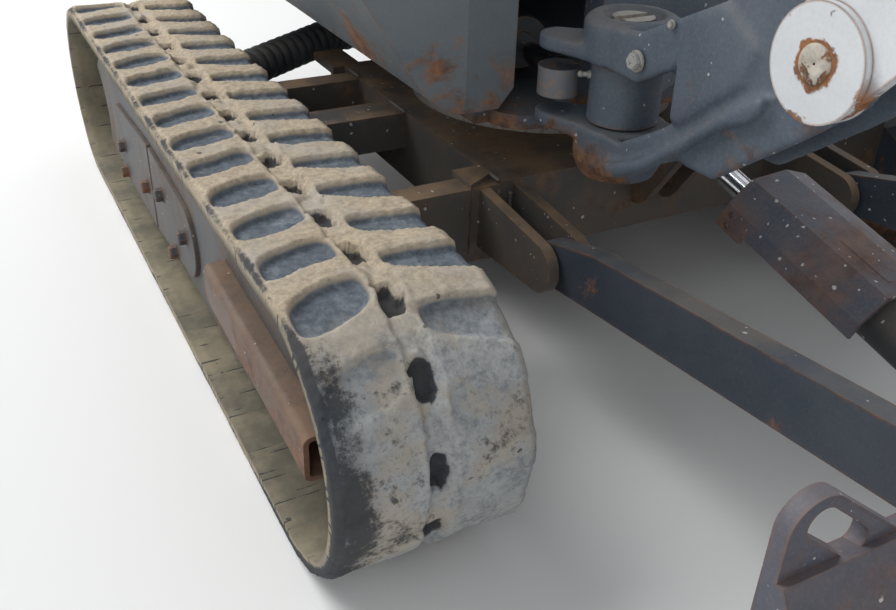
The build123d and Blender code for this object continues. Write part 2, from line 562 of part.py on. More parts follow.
# Boom: a bent box with a fork over the bracket
forkThick = 14.0
boomLugY, boomLugZ = footY - 418.0, footZ + 842.0       # rod eye of the boom cylinder
armRamY, armRamZ = noseY + 783.0, noseZ + 39.0          # foot of the arm cylinder
lugHalf = 15.0 + gap
noseSolid = 165.0       # the box section ends this far from the arm's pin
boomLine = [(footY - 163, footZ + 297), (footY - 188, footZ + 152), (elbowY - 45, elbowZ - 66), (noseY + noseSolid, noseZ - 35),
            (noseY + noseSolid, noseZ + 34), (elbowY - 30, elbowZ + 67), (elbowY + 62, elbowZ + 37)]
boom = side(boomLine, kingX - boomHalf, kingX + boomHalf)
for x0, x1 in slabs(kingX, forkIn, forkThick):
    boom = boom + link((footY, footZ), (footY - 163, footZ + 227), 50, 74, x0, x1)
for x0, x1 in slabs(kingX, forkIn, forkThick + 8):
    boom = boom + barX(x0, x1, footY, footZ, 52)
for x0, x1 in slabs(kingX, armHalf + gap, 12):
    boom = boom + link((noseY + 190, noseZ + 6), (noseY, noseZ), 40, 44, x0, x1)
for x0, x1 in slabs(kingX, boomEye + gap, 14):
    boom = boom + link((elbowY + 75, elbowZ + 40), (boomLugY, boomLugZ), 45, 28, x0, x1)
for x0, x1 in slabs(kingX, lugHalf, 14):
    boom = boom + link((armRamY + 14, armRamZ - 110), (armRamY, armRamZ), 50, 28, x0, x1)
boom = boom + box(kingX - forkIn - forkThick - 4, kingX + forkIn + forkThick + 4, footY - 208, footY - 138, footZ + 182, footZ + 272)
boom = boom + barX(kingX - forkIn - 2, kingX + forkIn + 2, footY, footZ, pinR) + barX(kingX - 60, kingX + 60, noseY, noseZ, pinR)
boom = boom + barX(kingX - lugHalf - 10, kingX + lugHalf + 10, armRamY, armRamZ, smallPinR)
save(boom, "boom")
barrel, rod = cylinder((kingX, ramFootY, ramFootZ), (kingX, boomLugY, boomLugZ), 25, 17, 560, 28, boomEye, 128, lugR=42)
save(barrel, "boom_cylinder")
save(rod, "boom_cylinder_rod")

# Arm
lean = math.radians(armLean)


def armPoint(down, outward):
    # down along the arm from its pin, outward away from the machine
    y = noseY + down * math.sin(lean) - outward * math.cos(lean)
    z = noseZ - down * math.cos(lean) - outward * math.sin(lean)
    return y, z


armEnd = armLong - 60
bucketY, bucketZ = armPoint(armLong, 0)
armLugLong, armLugTurn = 235.0, 92.0
armLugY = noseY + armLugLong * math.cos(math.radians(armLugTurn))
armLugZ = noseZ + armLugLong * math.sin(math.radians(armLugTurn))
tipCylY, tipCylZ = armPoint(60, 150)
rockY, rockZ = armPoint(armLong - 190, 5)
kneeY, kneeZ = armPoint(armLong - 205, 155)
earY, earZ = armPoint(armLong - 25, 128)
bucketPinR, rockPinR, kneePinR = 15.0, 13.0, 12.0
armLine = [armPoint(-130, -30), armPoint(-110, 60), armPoint(60, 92), armPoint(armEnd, 42), armPoint(armEnd, -40),
           armPoint(160, -50), armPoint(40, -45)]
arm = side(armLine, kingX - armHalf, kingX + armHalf)
arm = arm + link((bucketY, bucketZ), armPoint(armLong - 120, 0), 34, 42, kingX - armHalf + 4, kingX + armHalf - 4)
arm = arm + barX(kingX - armHalf, kingX + armHalf, noseY, noseZ, 60)
for x0, x1 in slabs(kingX, lugHalf, 14):
    arm = arm + link(armPoint(-100, 10), (armLugY, armLugZ), 36, 26, x0, x1)
    arm = arm + link(armPoint(46, 60), (tipCylY, tipCylZ), 48, 26, x0, x1)
arm = arm - barX(kingX - 80, kingX + 80, noseY, noseZ, pinR + fit) - barX(kingX - 80, kingX + 80, bucketY, bucketZ, bucketPinR + fit)
arm = arm + barX(kingX - lugHalf - 10, kingX + lugHalf + 10, tipCylY, tipCylZ, smallPinR)
arm = arm + barX(kingX - 58, kingX + 58, rockY, rockZ, rockPinR)
save(arm, "arm")
barrel, rod = cylinder((kingX, armRamY, armRamZ), (kingX, armLugY, armLugZ), 27, 16, 470, 26, 15, 275)
save(barrel, "arm_cylinder")
save(rod, "arm_cylinder_rod")
barrel, rod = cylinder((kingX, tipCylY, tipCylZ), (kingX, kneeY, kneeZ), 25, 14, 440, 26, 15, 130)
save(barrel, "bucket_cylinder")
save(rod, "bucket_cylinder_rod")

# Bucket linkage: two rocker plates and a link between them
rockerThick, linkThick = 10.0, 18.0
rockers = []
for x0, x1 in slabs(kingX, armHalf + gap, rockerThick):
    plate = link((rockY, rockZ), (kneeY, kneeZ), 26, 24, x0, x1) - barX(x0 - 1, x1 + 1, rockY, rockZ, rockPinR + fit)
    inner = 12 if x0 > kingX else 0
    outer = 12 - inner
    rockers.append(plate + barX(x0 - inner, x1 + outer, kneeY, kneeZ, kneePinR))
save(Compound(rockers), "rocker")
tie = barX(kingX - 38, kingX + 38, earY, earZ, 22)
for x0, x1 in slabs(kingX, 20, linkThick):
    tie = tie + (link((kneeY, kneeZ), (earY, earZ), 22, 22, x0, x1) - barX(x0 - 1, x1 + 1, kneeY, kneeZ, kneePinR + fit))
save(tie, "bucket_link")

# Bucket
floorZ = bucketZ - bucketDeep
skin = 9.0
toothCount = 5
toothWide = 42.0


def shell(t):
    # side outline of the bucket, t inside its outer skin
    top = (bucketY + 95 - 0.2 * t, bucketZ - 58 - t)
    heel = (bucketY - 110, bucketZ - 66 - t)
    toe = (bucketY - 40, floorZ + t)
    lip = (bucketY + 300, floorZ + t)
    arc = ThreePointArc(heel, (bucketY - 236 + t, bucketZ - 255), toe)
    return make_face([Line(top, heel), arc, Line(toe, lip), Line(lip, top)])


bucket = extrude(Plane.YZ.offset(kingX - bucketHalf) * shell(0), amount=2 * bucketHalf)
bucket = bucket - extrude(Plane.YZ.offset(kingX - bucketHalf + skin) * shell(skin), amount=2 * (bucketHalf - skin))
bucket = bucket - side([(bucketY + 60, bucketZ - 68), (bucketY + 280, floorZ + skin), (bucketY + 420, floorZ + skin),
                        (bucketY + 300, bucketZ - 40)], kingX - bucketHalf + skin, kingX + bucketHalf - skin)
bucket = bucket + side([(bucketY + 240, floorZ), (bucketY + 330, floorZ), (bucketY + 318, floorZ + 13), (bucketY + 240, floorZ + 13)],
                       kingX - bucketHalf, kingX + bucketHalf)
tooth = [(bucketY + 300, floorZ), (bucketY + 402, floorZ + 4), (bucketY + 402, floorZ + 10), (bucketY + 340, floorZ + 34),
         (bucketY + 300, floorZ + 34)]
toothStep = (2 * bucketHalf - toothWide - 8) / (toothCount - 1)
for i in range(toothCount):
    x = kingX - bucketHalf + 4 + toothStep * i
    bucket = bucket + side(tooth, x, x + toothWide)
for x0, x1 in slabs(kingX, armHalf + gap, 14):
    bucket = bucket + link((bucketY, bucketZ), (earY, earZ), 30, 28, x0, x1)
    bucket = bucket + side([(bucketY + 30, bucketZ - 5), (bucketY + 80, bucketZ - 60), (earY - 28, bucketZ - 70), (earY - 26, earZ)], x0, x1)
bucket = bucket + barX(kingX - armHalf - gap - 20, kingX + armHalf + gap + 20, bucketY, bucketZ, bucketPinR)
save(bucket, "bucket")

# The origin is on the ground under the middle of the whole machine
whole = Compound(list(pieces.values())).bounding_box()
shift = Vector(-(whole.min.X + whole.max.X) / 2, -(whole.min.Y + whole.max.Y) / 2, -whole.min.Z)
for node, shape in pieces.items():
    export_step(Pos(*shift) * shape, "parts/" + node + ".step")
print("nodes", len(pieces), "shift", shift)
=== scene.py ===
import math
import bmesh
import bpy
import numpy as np
from mathutils import Matrix, Vector


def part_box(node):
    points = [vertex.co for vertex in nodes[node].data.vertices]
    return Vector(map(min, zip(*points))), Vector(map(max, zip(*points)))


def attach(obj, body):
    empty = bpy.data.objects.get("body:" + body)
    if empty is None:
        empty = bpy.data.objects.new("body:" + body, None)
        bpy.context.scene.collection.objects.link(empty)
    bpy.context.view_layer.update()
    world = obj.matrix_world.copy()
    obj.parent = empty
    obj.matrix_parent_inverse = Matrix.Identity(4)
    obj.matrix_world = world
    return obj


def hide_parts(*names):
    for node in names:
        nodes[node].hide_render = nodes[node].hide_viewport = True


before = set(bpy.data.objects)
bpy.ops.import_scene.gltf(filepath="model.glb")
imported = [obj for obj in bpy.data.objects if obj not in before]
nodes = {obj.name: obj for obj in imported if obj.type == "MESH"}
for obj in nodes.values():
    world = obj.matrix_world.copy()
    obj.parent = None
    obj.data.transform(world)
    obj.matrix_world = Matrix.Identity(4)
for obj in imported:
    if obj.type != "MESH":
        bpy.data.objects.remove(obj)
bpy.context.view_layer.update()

# Places are written in millimetres from the slew axis on the ground, front at -Y.
ringLow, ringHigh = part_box("slew_ring")
slewX = (ringLow[0] + ringHigh[0]) / 2
slewY = (ringLow[1] + ringHigh[1]) / 2
ringTop = 0.355       # metres from the ground to the top of the slew ring
groundZ = ringHigh[2] - ringTop


def place(points):
    # millimetres from the slew axis into metres of the shared frame
    return np.asarray(points, float) / 1000 + np.array([slewX, slewY, groundZ])


def meshFrom(name, points, faces, body, material, smooth=True):
    # points in metres, faces as lists of corner numbers
    mesh = bpy.data.meshes.new(name)
    mesh.from_pydata(points.tolist(), [], faces if isinstance(faces, list) else faces.tolist())
    mesh.update()
    if smooth:
        mesh.shade_smooth()
    obj = bpy.data.objects.new(name, mesh)
    bpy.context.scene.collection.objects.link(obj)
    mesh.materials.append(material)
    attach(obj, body)
    return obj


def gridQuads(rows, columns, closeRows, closeColumns, flip=False):
    # each cell of the grid joins a point to its right, diagonal and upper neighbours
    i = np.arange(rows if closeRows else rows - 1)
    j = np.arange(columns if closeColumns else columns - 1)
    a, b = np.meshgrid(i, j, indexing="ij")
    a, b = a.ravel(), b.ravel()
    a1, b1 = (a + 1) % rows, (b + 1) % columns
    quads = [a * columns + b, a1 * columns + b, a1 * columns + b1, a * columns + b1]
    quads = np.stack(quads, axis=1)
    return quads[:, ::-1] if flip else quads


def tubeAlong(path, radii, sides, aside):
    # rings of a swept circle: centre + radius * (cos * n + sin * b), with n and b square to the tangent
    tangent = np.gradient(path, axis=0)
    tangent /= np.linalg.norm(tangent, axis=1)[:, None]
    n = np.cross(tangent, np.asarray(aside, float))
    n /= np.linalg.norm(n, axis=1)[:, None]
    b = np.cross(tangent, n)
    turn = np.arange(sides) * 2 * math.pi / sides
    ring = np.cos(turn)[None, :, None] * n[:, None, :] + np.sin(turn)[None, :, None] * b[:, None, :]
    return path[:, None, :] + radii[:, None, None] * ring


def ringsToFaces(rings):
    # quads between neighbouring rings and one flat face at each end
    rows, sides = rings.shape[:2]
    quads = gridQuads(rows, sides, False, True).tolist()
    last = (rows - 1) * sides
    return quads + [list(range(sides - 1, -1, -1)), list(range(last, last + sides))]


def joinedMesh(name, ringSets, body, material, smooth=True):
    points, faces, start = [], [], 0
    for rings in ringSets:
        points.append(rings.reshape(-1, 3))
        faces += [[corner + start for corner in face] for face in ringsToFaces(rings)]
        start += rings.shape[0] * rings.shape[1]
    return meshFrom(name, place(np.concatenate(points)), faces, body, material, smooth)


def turnedShape(profile, centre, axis, sides):
    # a profile of (distance along, radius) carried round an axis, as rings for ringsToFaces
    axis = np.asarray(axis, float) / np.linalg.norm(axis)
    along, radius = np.asarray(profile, float).T
    path = np.asarray(centre, float) + along[:, None] * axis
    aside = (0, 0, 1) if abs(axis[2]) < 0.9 else (1, 0, 0)
    n = np.cross(axis, np.asarray(aside, float))
    n /= np.linalg.norm(n)
    b = np.cross(axis, n)
    turn = np.arange(sides) * 2 * math.pi / sides
    ring = np.cos(turn)[:, None] * n + np.sin(turn)[:, None] * b
    return path[:, None, :] + radius[:, None, None] * ring[None, :, :]


def smoothStep(low, high, value):
    t = np.clip((value - low) / (high - low), 0, 1)
    return t * t * (3 - 2 * t)


def valueNoise(u, v, seed):
    # lattice noise: random heights at whole numbers, eased between them in both directions
    rng = np.random.default_rng(seed)
    table = rng.random((256, 256))
    i, j = np.floor(u).astype(int), np.floor(v).astype(int)
    fu, fv = u - i, v - j
    fu, fv = fu * fu * (3 - 2 * fu), fv * fv * (3 - 2 * fv)
    a = table[i % 256, j % 256]
    b = table[(i + 1) % 256, j % 256]
    c = table[i % 256, (j + 1) % 256]
    d = table[(i + 1) % 256, (j + 1) % 256]
    return (a * (1 - fu) + b * fu) * (1 - fv) + (c * (1 - fu) + d * fu) * fv - 0.5


def newGroup(name, inputs, outputs):
    # an input without a value is a vector; the other inputs and all outputs are plain numbers
    group = bpy.data.node_groups.new(name, "ShaderNodeTree")
    for label, value in inputs.items():
        kind = "NodeSocketVector" if value is None else "NodeSocketFloat"
        socket = group.interface.new_socket(name=label, in_out="INPUT", socket_type=kind)
        if value is not None:
            socket.default_value = value
    for label in outputs:
        group.interface.new_socket(name=label, in_out="OUTPUT", socket_type="NodeSocketFloat")
    given = group.nodes.new("NodeGroupInput").outputs
    result = group.nodes.new("NodeGroupOutput").inputs
    return group, given, result


def addNode(tree, kind, settings=None, inputs=None):
    node = tree.nodes.new(kind)
    for key, value in (settings or {}).items():
        setattr(node, key, value)
    for key, value in (inputs or {}).items():
        if isinstance(value, bpy.types.NodeSocket):
            tree.links.new(value, node.inputs[key])
        else:
            node.inputs[key].default_value = value
    return node


def maths(tree, operation, a, b, clamp=False):
    settings = {"operation": operation, "use_clamp": clamp}
    return addNode(tree, "ShaderNodeMath", settings, {0: a, 1: b}).outputs[0]


def times(tree, a, b, clamp=False):
    return maths(tree, "MULTIPLY", a, b, clamp)


def plus(tree, a, b):
    return maths(tree, "ADD", a, b)


def minus(tree, a, b):
    return maths(tree, "SUBTRACT", a, b)


def larger(tree, a, b):
    return maths(tree, "MAXIMUM", a, b)


def vectors(tree, operation, a, b=None):
    inputs = {0: a} if b is None else {0: a, 1: b}
    node = addNode(tree, "ShaderNodeVectorMath", {"operation": operation}, inputs)
    return node.outputs["Value" if operation in ("LENGTH", "DOT_PRODUCT") else "Vector"]


def heightOf(tree, vector):
    return addNode(tree, "ShaderNodeSeparateXYZ", None, {0: vector}).outputs["Z"]


def noiseAt(tree, vector, scale, detail, roughness, distortion=0.0):
    inputs = {"Vector": vector, "Scale": scale, "Detail": detail,
              "Roughness": roughness, "Distortion": distortion}
    return addNode(tree, "ShaderNodeTexNoise", None, inputs).outputs["Fac"]


def easeBetween(tree, value, low, high):
    inputs = {"Value": value, "From Min": low, "From Max": high}
    return addNode(tree, "ShaderNodeMapRange", {"interpolation_type": "SMOOTHSTEP"}, inputs).outputs["Result"]


def mixColour(tree, mask, a, b):
    settings = {"data_type": "RGBA", "clamp_factor": True}
    return addNode(tree, "ShaderNodeMix", settings, {0: mask, 6: a, 7: b}).outputs[2]


def mixValue(tree, mask, a, b):
    return addNode(tree, "ShaderNodeMix", {"data_type": "FLOAT"}, {0: mask, 2: a, 3: b}).outputs[0]


def addBump(tree, shader, height, strength, distance):
    inputs = {"Height": height, "Strength": strength, "Distance": distance}
    bump = addNode(tree, "ShaderNodeBump", None, inputs)
    tree.links.new(bump.outputs[0], shader.inputs["Normal"])


def buildEdgeGroup():
    # how far the rounded normal leaves the flat one, broken up by noise
    sockets = {"Vector": None, "Width": 0.004, "Amount": 1.0, "Break Scale": 60.0}
    group, given, result = newGroup("edgeWear", sockets, ["Mask"])
    rounded = addNode(group, "ShaderNodeBevel", {"samples": 4}, {"Radius": given["Width"]}).outputs[0]
    flat = addNode(group, "ShaderNodeNewGeometry").outputs["Normal"]
    turned = minus(group, 1.0, vectors(group, "DOT_PRODUCT", rounded, flat))
    broken = times(group, noiseAt(group, given["Vector"], given["Break Scale"], 5.0, 0.7), 0.22)
    mask = easeBetween(group, minus(group, times(group, turned, 2.2), broken), -0.02, 0.10)
    group.links.new(times(group, mask, given["Amount"], True), result["Mask"])
    return group


def buildPatchGroup():
    # ragged islands: layered noise cut at a level that falls as the cover grows
    sockets = {"Vector": None, "Scale": 4.0, "Cover": 0.4, "Softness": 0.06}
    group, given, result = newGroup("patches", sockets, ["Mask"])
    noise = noiseAt(group, given["Vector"], given["Scale"], 9.0, 0.68, 0.4)
    level = minus(group, 0.78, times(group, given["Cover"], 0.56))
    low = minus(group, level, given["Softness"])
    high = plus(group, level, given["Softness"])
    group.links.new(easeBetween(group, noise, low, high), result["Mask"])
    return group


def buildFleckGroup():
    # small pale spots: one per cell of a cell pattern, kept only in some cells, of uneven size
    sockets = {"Vector": None, "Scale": 60.0, "Share": 0.2, "Size": 0.25}
    group, given, result = newGroup("flecks", sockets, ["Mask"])
    fine = {"Vector": given["Vector"], "Scale": 180.0, "Detail": 2.0}
    bend = addNode(group, "ShaderNodeTexNoise", None, fine).outputs["Color"]
    shift = addNode(group, "ShaderNodeVectorMath", {"operation": "SCALE"}, {0: bend, "Scale": 0.006})
    moved = vectors(group, "ADD", given["Vector"], shift.outputs[0])
    cells = addNode(group, "ShaderNodeTexVoronoi", None, {"Vector": moved, "Scale": given["Scale"]}).outputs
    parts = addNode(group, "ShaderNodeSeparateColor", None, {"Color": cells["Color"]}).outputs
    kept = maths(group, "LESS_THAN", parts["Red"], given["Share"])
    reach = times(group, plus(group, parts["Green"], 0.25), given["Size"])
    inside = easeBetween(group, cells["Distance"], reach, times(group, reach, 0.6))
    group.links.new(times(group, inside, kept), result["Mask"])
    return group


def buildDustGroup():
    # dust lies on what faces up, and is thinned by noise
    group, given, result = newGroup("dust", {"Vector": None, "Amount": 0.5, "Scale": 9.0}, ["Mask"])
    normal = addNode(group, "ShaderNodeNewGeometry").outputs["Normal"]
    up = easeBetween(group, heightOf(group, normal), -0.25, 0.95)
    thin = easeBetween(group, noiseAt(group, given["Vector"], given["Scale"], 8.0, 0.62), 0.32, 0.68)
    group.links.new(times(group, times(group, up, thin), given["Amount"], True), result["Mask"])
    return group


def buildStainGroup():
    # round stain about an axis that runs across the machine, and chips in a ring farther out
    sockets = {"Vector": None, "Centre": None, "Radius": 0.02, "Rim": 0.05}
    group, given, result = newGroup("stain", sockets, ["Mask", "Chips"])
    away = vectors(group, "SUBTRACT", given["Vector"], given["Centre"])
    reach = vectors(group, "LENGTH", vectors(group, "MULTIPLY", away, (0, 1, 1)))
    fray = times(group, minus(group, noiseAt(group, given["Vector"], 55.0, 7.0, 0.65), 0.5), 0.022)
    mask = easeBetween(group, plus(group, reach, fray), times(group, given["Radius"], 1.12), given["Radius"])
    nearRim = easeBetween(group, reach, times(group, given["Rim"], 0.72), given["Rim"])
    farOut = easeBetween(group, reach, times(group, given["Rim"], 1.5), given["Rim"])
    loose = plus(group, noiseAt(group, given["Vector"], 26.0, 8.0, 0.7), times(group, nearRim, 0.13))
    chips = easeBetween(group, loose, 0.665, 0.69)
    below = easeBetween(group, heightOf(group, away), 0.012, -0.022)       # paint goes first low down
    chips = times(group, times(group, chips, times(group, nearRim, below)), farOut)
    group.links.new(mask, result["Mask"])
    group.links.new(chips, result["Chips"])
    return group


edgeGroup, patchGroup, fleckGroup = buildEdgeGroup(), buildPatchGroup(), buildFleckGroup()
dustGroup, stainGroup = buildDustGroup(), buildStainGroup()
print("node groups built")


def useGroup(tree, group, coords, inputs):
    return addNode(tree, "ShaderNodeGroup", {"node_tree": group}, {"Vector": coords, **inputs}).outputs


def startMaterial(name):
    material = bpy.data.materials.new(name)
    material.use_nodes = True
    tree = material.node_tree
    shader = tree.nodes["Principled BSDF"]
    coords = addNode(tree, "ShaderNodeTexCoord").outputs["Object"]
    return material, tree, shader, coords


def paintedSteel(name, changes):
    # coat of paint in two tones, rust in patches and along edges, dust from above, pale flecks
    look = {**slate, **changes}
    material, tree, shader, coords = startMaterial(name)
    toned = {"Scale": look["toneScale"], "Cover": 0.5, "Softness": 0.16}
    tone = useGroup(tree, patchGroup, coords, toned)["Mask"]
    colour = mixColour(tree, tone, look["paint"], look["paintAlt"])
    fine = noiseAt(tree, coords, 260.0, 6.0, 0.7)
    worn = times(tree, easeBetween(tree, fine, 0.42, 0.75), 0.35)
    colour = mixColour(tree, worn, colour, look["paintWorn"])
    rustTone = noiseAt(tree, coords, 46.0, 8.0, 0.7)
    rustColour = mixColour(tree, easeBetween(tree, rustTone, 0.34, 0.66), look["rust"], look["rustDark"])
    cover = look["rustCover"]
    if "lowRust" in look:
        low, high, extra = look["lowRust"]      # heights over the ground in metres, and the cover added below
        sunk = easeBetween(tree, heightOf(tree, coords), groundZ + high, groundZ + low)
        cover = plus(tree, cover, times(tree, sunk, extra))
    patched = {"Scale": look["rustScale"], "Cover": cover, "Softness": look["rustSoft"]}
    edged = {"Width": look["edgeWidth"], "Amount": look["edgeRust"], "Break Scale": 38.0}
    patch = useGroup(tree, patchGroup, coords, patched)["Mask"]
    rustMask = larger(tree, patch, useGroup(tree, edgeGroup, coords, edged)["Mask"])
    if "pin" in look:
        stained = {"Centre": tuple(place(look["pin"])), "Radius": 0.021, "Rim": 0.052}
        stain = useGroup(tree, stainGroup, coords, stained)
        rustMask = larger(tree, rustMask, larger(tree, stain["Mask"], stain["Chips"]))
    colour = mixColour(tree, rustMask, colour, rustColour)
    dusted = {"Amount": look["dustAmount"], "Scale": look["dustScale"]}
    dust = useGroup(tree, dustGroup, coords, dusted)["Mask"]
    colour = mixColour(tree, dust, colour, look["dust"])
    flecked = {"Scale": look["fleckScale"], "Share": look["fleckShare"], "Size": 0.26}
    fleck = useGroup(tree, fleckGroup, coords, flecked)["Mask"]
    colour = mixColour(tree, times(tree, fleck, 0.8), colour, look["fleck"])
    tree.links.new(colour, shader.inputs["Base Color"])
    rough = mixValue(tree, rustMask, mixValue(tree, fine, look["gloss"], look["gloss"] + 0.18), 0.85)
    tree.links.new(mixValue(tree, dust, rough, 0.9), shader.inputs["Roughness"])
    pitted = times(tree, rustMask, times(tree, rustTone, 1.4))
    height = plus(tree, plus(tree, times(tree, fine, 0.35), pitted), times(tree, fleck, 0.6))
    addBump(tree, shader, height, look["bump"], 0.0012)
    return material


def muddyRubber(name, look):
    # rubber under dried mud: attributes mark the pockets, bare edges, the dusty front and the inner ledge; the
    # pockets' rubber and the front's dust carry painted shade, and so do the centre holes and creases
    material, tree, shader, coords = startMaterial(name)
    tread, bare, frontShadedDust, ledge = (addNode(tree, "ShaderNodeAttribute", {"attribute_name": key}).outputs["Fac"]
                               for key in ("tread", "bare", "frontShadedDust", "ledge"))
    wide = noiseAt(tree, coords, 9.0, 10.0, 0.68)
    streak = noiseAt(tree, coords, 24.0, 12.0, 0.8, 0.15)
    fine = noiseAt(tree, coords, 130.0, 8.0, 0.78)
    mud = mixColour(tree, easeBetween(tree, fine, 0.32, 0.66), look["mudDark"], look["mud"])
    mud = mixColour(tree, times(tree, easeBetween(tree, wide, 0.45, 0.66), 0.55), mud, look["mudGrey"])
    # pocket floors: bare rubber, darkened and blued as painted shade, with pale streaks
    floor = mixColour(tree, easeBetween(tree, fine, 0.35, 0.68), look["pocketRubberShadeDark"], look["rubber"])
    floor = mixColour(tree, easeBetween(tree, streak, 0.5, 0.72), floor, look["pocketRubberShadePale"])
    ragged = plus(tree, tread, times(tree, minus(tree, fine, 0.5), 0.6))
    colour = mixColour(tree, easeBetween(tree, ragged, 0.3, 0.75), mud, floor)
    # front wrap: dust coloured blue-grey as painted shade, with mud patches
    cloud = plus(tree, fine, times(tree, streak, 1.3))
    frontShadedDustColour = mixColour(tree, easeBetween(tree, cloud, 0.86, 1.34), look["frontShadedDustDark"], look["frontShadedDust"])
    frontShadedDustColour = mixColour(tree, times(tree, easeBetween(tree, wide, 0.49, 0.6), 0.55), frontShadedDustColour, look["mud"])
    colour = mixColour(tree, times(tree, frontShadedDust, 0.88), colour, frontShadedDustColour)
    olive = mixColour(tree, easeBetween(tree, wide, 0.35, 0.65), look["ledgeDark"], look["ledge"])
    colour = mixColour(tree, ledge, colour, olive)
    # black patches of wear, plus painted shade in the centre holes and creases and a darker front as painted
    # shade
    worn = minus(tree, plus(tree, plus(tree, wide, streak), times(tree, fine, 0.7)), 1.35)
    worn = plus(tree, plus(tree, bare, times(tree, worn, 1.15)), times(tree, frontShadedDust, 0.3))
    colour = mixColour(tree, times(tree, easeBetween(tree, worn, 0.34, 0.62), 0.9), colour, look["black"])
    fleck = useGroup(tree, fleckGroup, coords, {"Scale": 70.0, "Share": 0.07, "Size": 0.3})["Mask"]
    colour = mixColour(tree, times(tree, fleck, 0.75), colour, look["black"])
    tree.links.new(colour, shader.inputs["Base Color"])
    shader.inputs["Roughness"].default_value = 0.92
    shader.inputs["Specular IOR Level"].default_value = 0.2
    addBump(tree, shader, plus(tree, fine, times(tree, streak, 1.2)), 0.7, 0.0022)
    return material


def chromedSteel(name, look):
    material, tree, shader, coords = startMaterial(name)
    fine = noiseAt(tree, coords, 90.0, 6.0, 0.7)
    colour = mixColour(tree, easeBetween(tree, fine, 0.45, 0.75), look["bright"], look["dull"])
    rough = mixValue(tree, fine, look["rough"], look["rough"] + 0.2)
    shader.inputs["Metallic"].default_value = 1.0
    if "eye" in look:
        spot, keep, radius = look["eye"]        # the rod's welded eye is painted, the rod itself is bright
        away = vectors(tree, "SUBTRACT", coords, tuple(place(spot)))
        reach = vectors(tree, "LENGTH", vectors(tree, "MULTIPLY", away, keep))
        painted = easeBetween(tree, reach, radius + 0.001, radius - 0.001)
        eyePaint = mixColour(tree, easeBetween(tree, fine, 0.48, 0.62), look["cast"], look["castRust"])
        colour = mixColour(tree, painted, colour, eyePaint)
        rough = mixValue(tree, painted, rough, 0.6)
        tree.links.new(minus(tree, 1.0, painted), shader.inputs["Metallic"])
    tree.links.new(colour, shader.inputs["Base Color"])
    tree.links.new(rough, shader.inputs["Roughness"])
    addBump(tree, shader, fine, 0.2, 0.0004)
    return material


def grainedPolymer(name, look):
    material, tree, shader, coords = startMaterial(name)
    spread = {"Vector": coords, "Scale": look["grainScale"]}
    cells = addNode(tree, "ShaderNodeTexVoronoi", {"feature": "DISTANCE_TO_EDGE"}, spread)
    wide = noiseAt(tree, coords, 12.0, 7.0, 0.65)
    colour = mixColour(tree, easeBetween(tree, wide, 0.4, 0.72), look["base"], look["rubbed"])
    dust = useGroup(tree, dustGroup, coords, {"Amount": look["dustAmount"], "Scale": 14.0})["Mask"]
    tree.links.new(mixColour(tree, dust, colour, look["dust"]), shader.inputs["Base Color"])
    tree.links.new(mixValue(tree, wide, look["rough"], look["rough"] + 0.2), shader.inputs["Roughness"])
    addBump(tree, shader, easeBetween(tree, cells.outputs["Distance"], 0.0, 0.25), 0.5, 0.0006)
    return material


# Every paint starts from this slate; its own entry names what differs. Lengths here are in metres.
slate = {
    "paint": (0.020, 0.030, 0.046, 1), "paintAlt": (0.036, 0.046, 0.062, 1),
    "paintWorn": (0.075, 0.085, 0.095, 1), "toneScale": 5.0, "rust": (0.20, 0.085, 0.036, 1),
    "rustDark": (0.062, 0.036, 0.025, 1), "rustScale": 7.0, "rustCover": 0.26, "edgeWidth": 0.006,
    "edgeRust": 0.75, "dust": (0.18, 0.155, 0.125, 1), "dustAmount": 0.5, "dustScale": 8.0,
    "fleck": (0.55, 0.53, 0.5, 1), "fleckScale": 110.0, "fleckShare": 0.14, "gloss": 0.46, "bump": 0.6,
    "rustSoft": 0.03,
}
cast = {
    "cast": (0.045, 0.055, 0.068, 1), "castRust": (0.15, 0.085, 0.05, 1), "bright": (0.72, 0.74, 0.77, 1),
    "dull": (0.5, 0.5, 0.5, 1), "rough": 0.08,
}
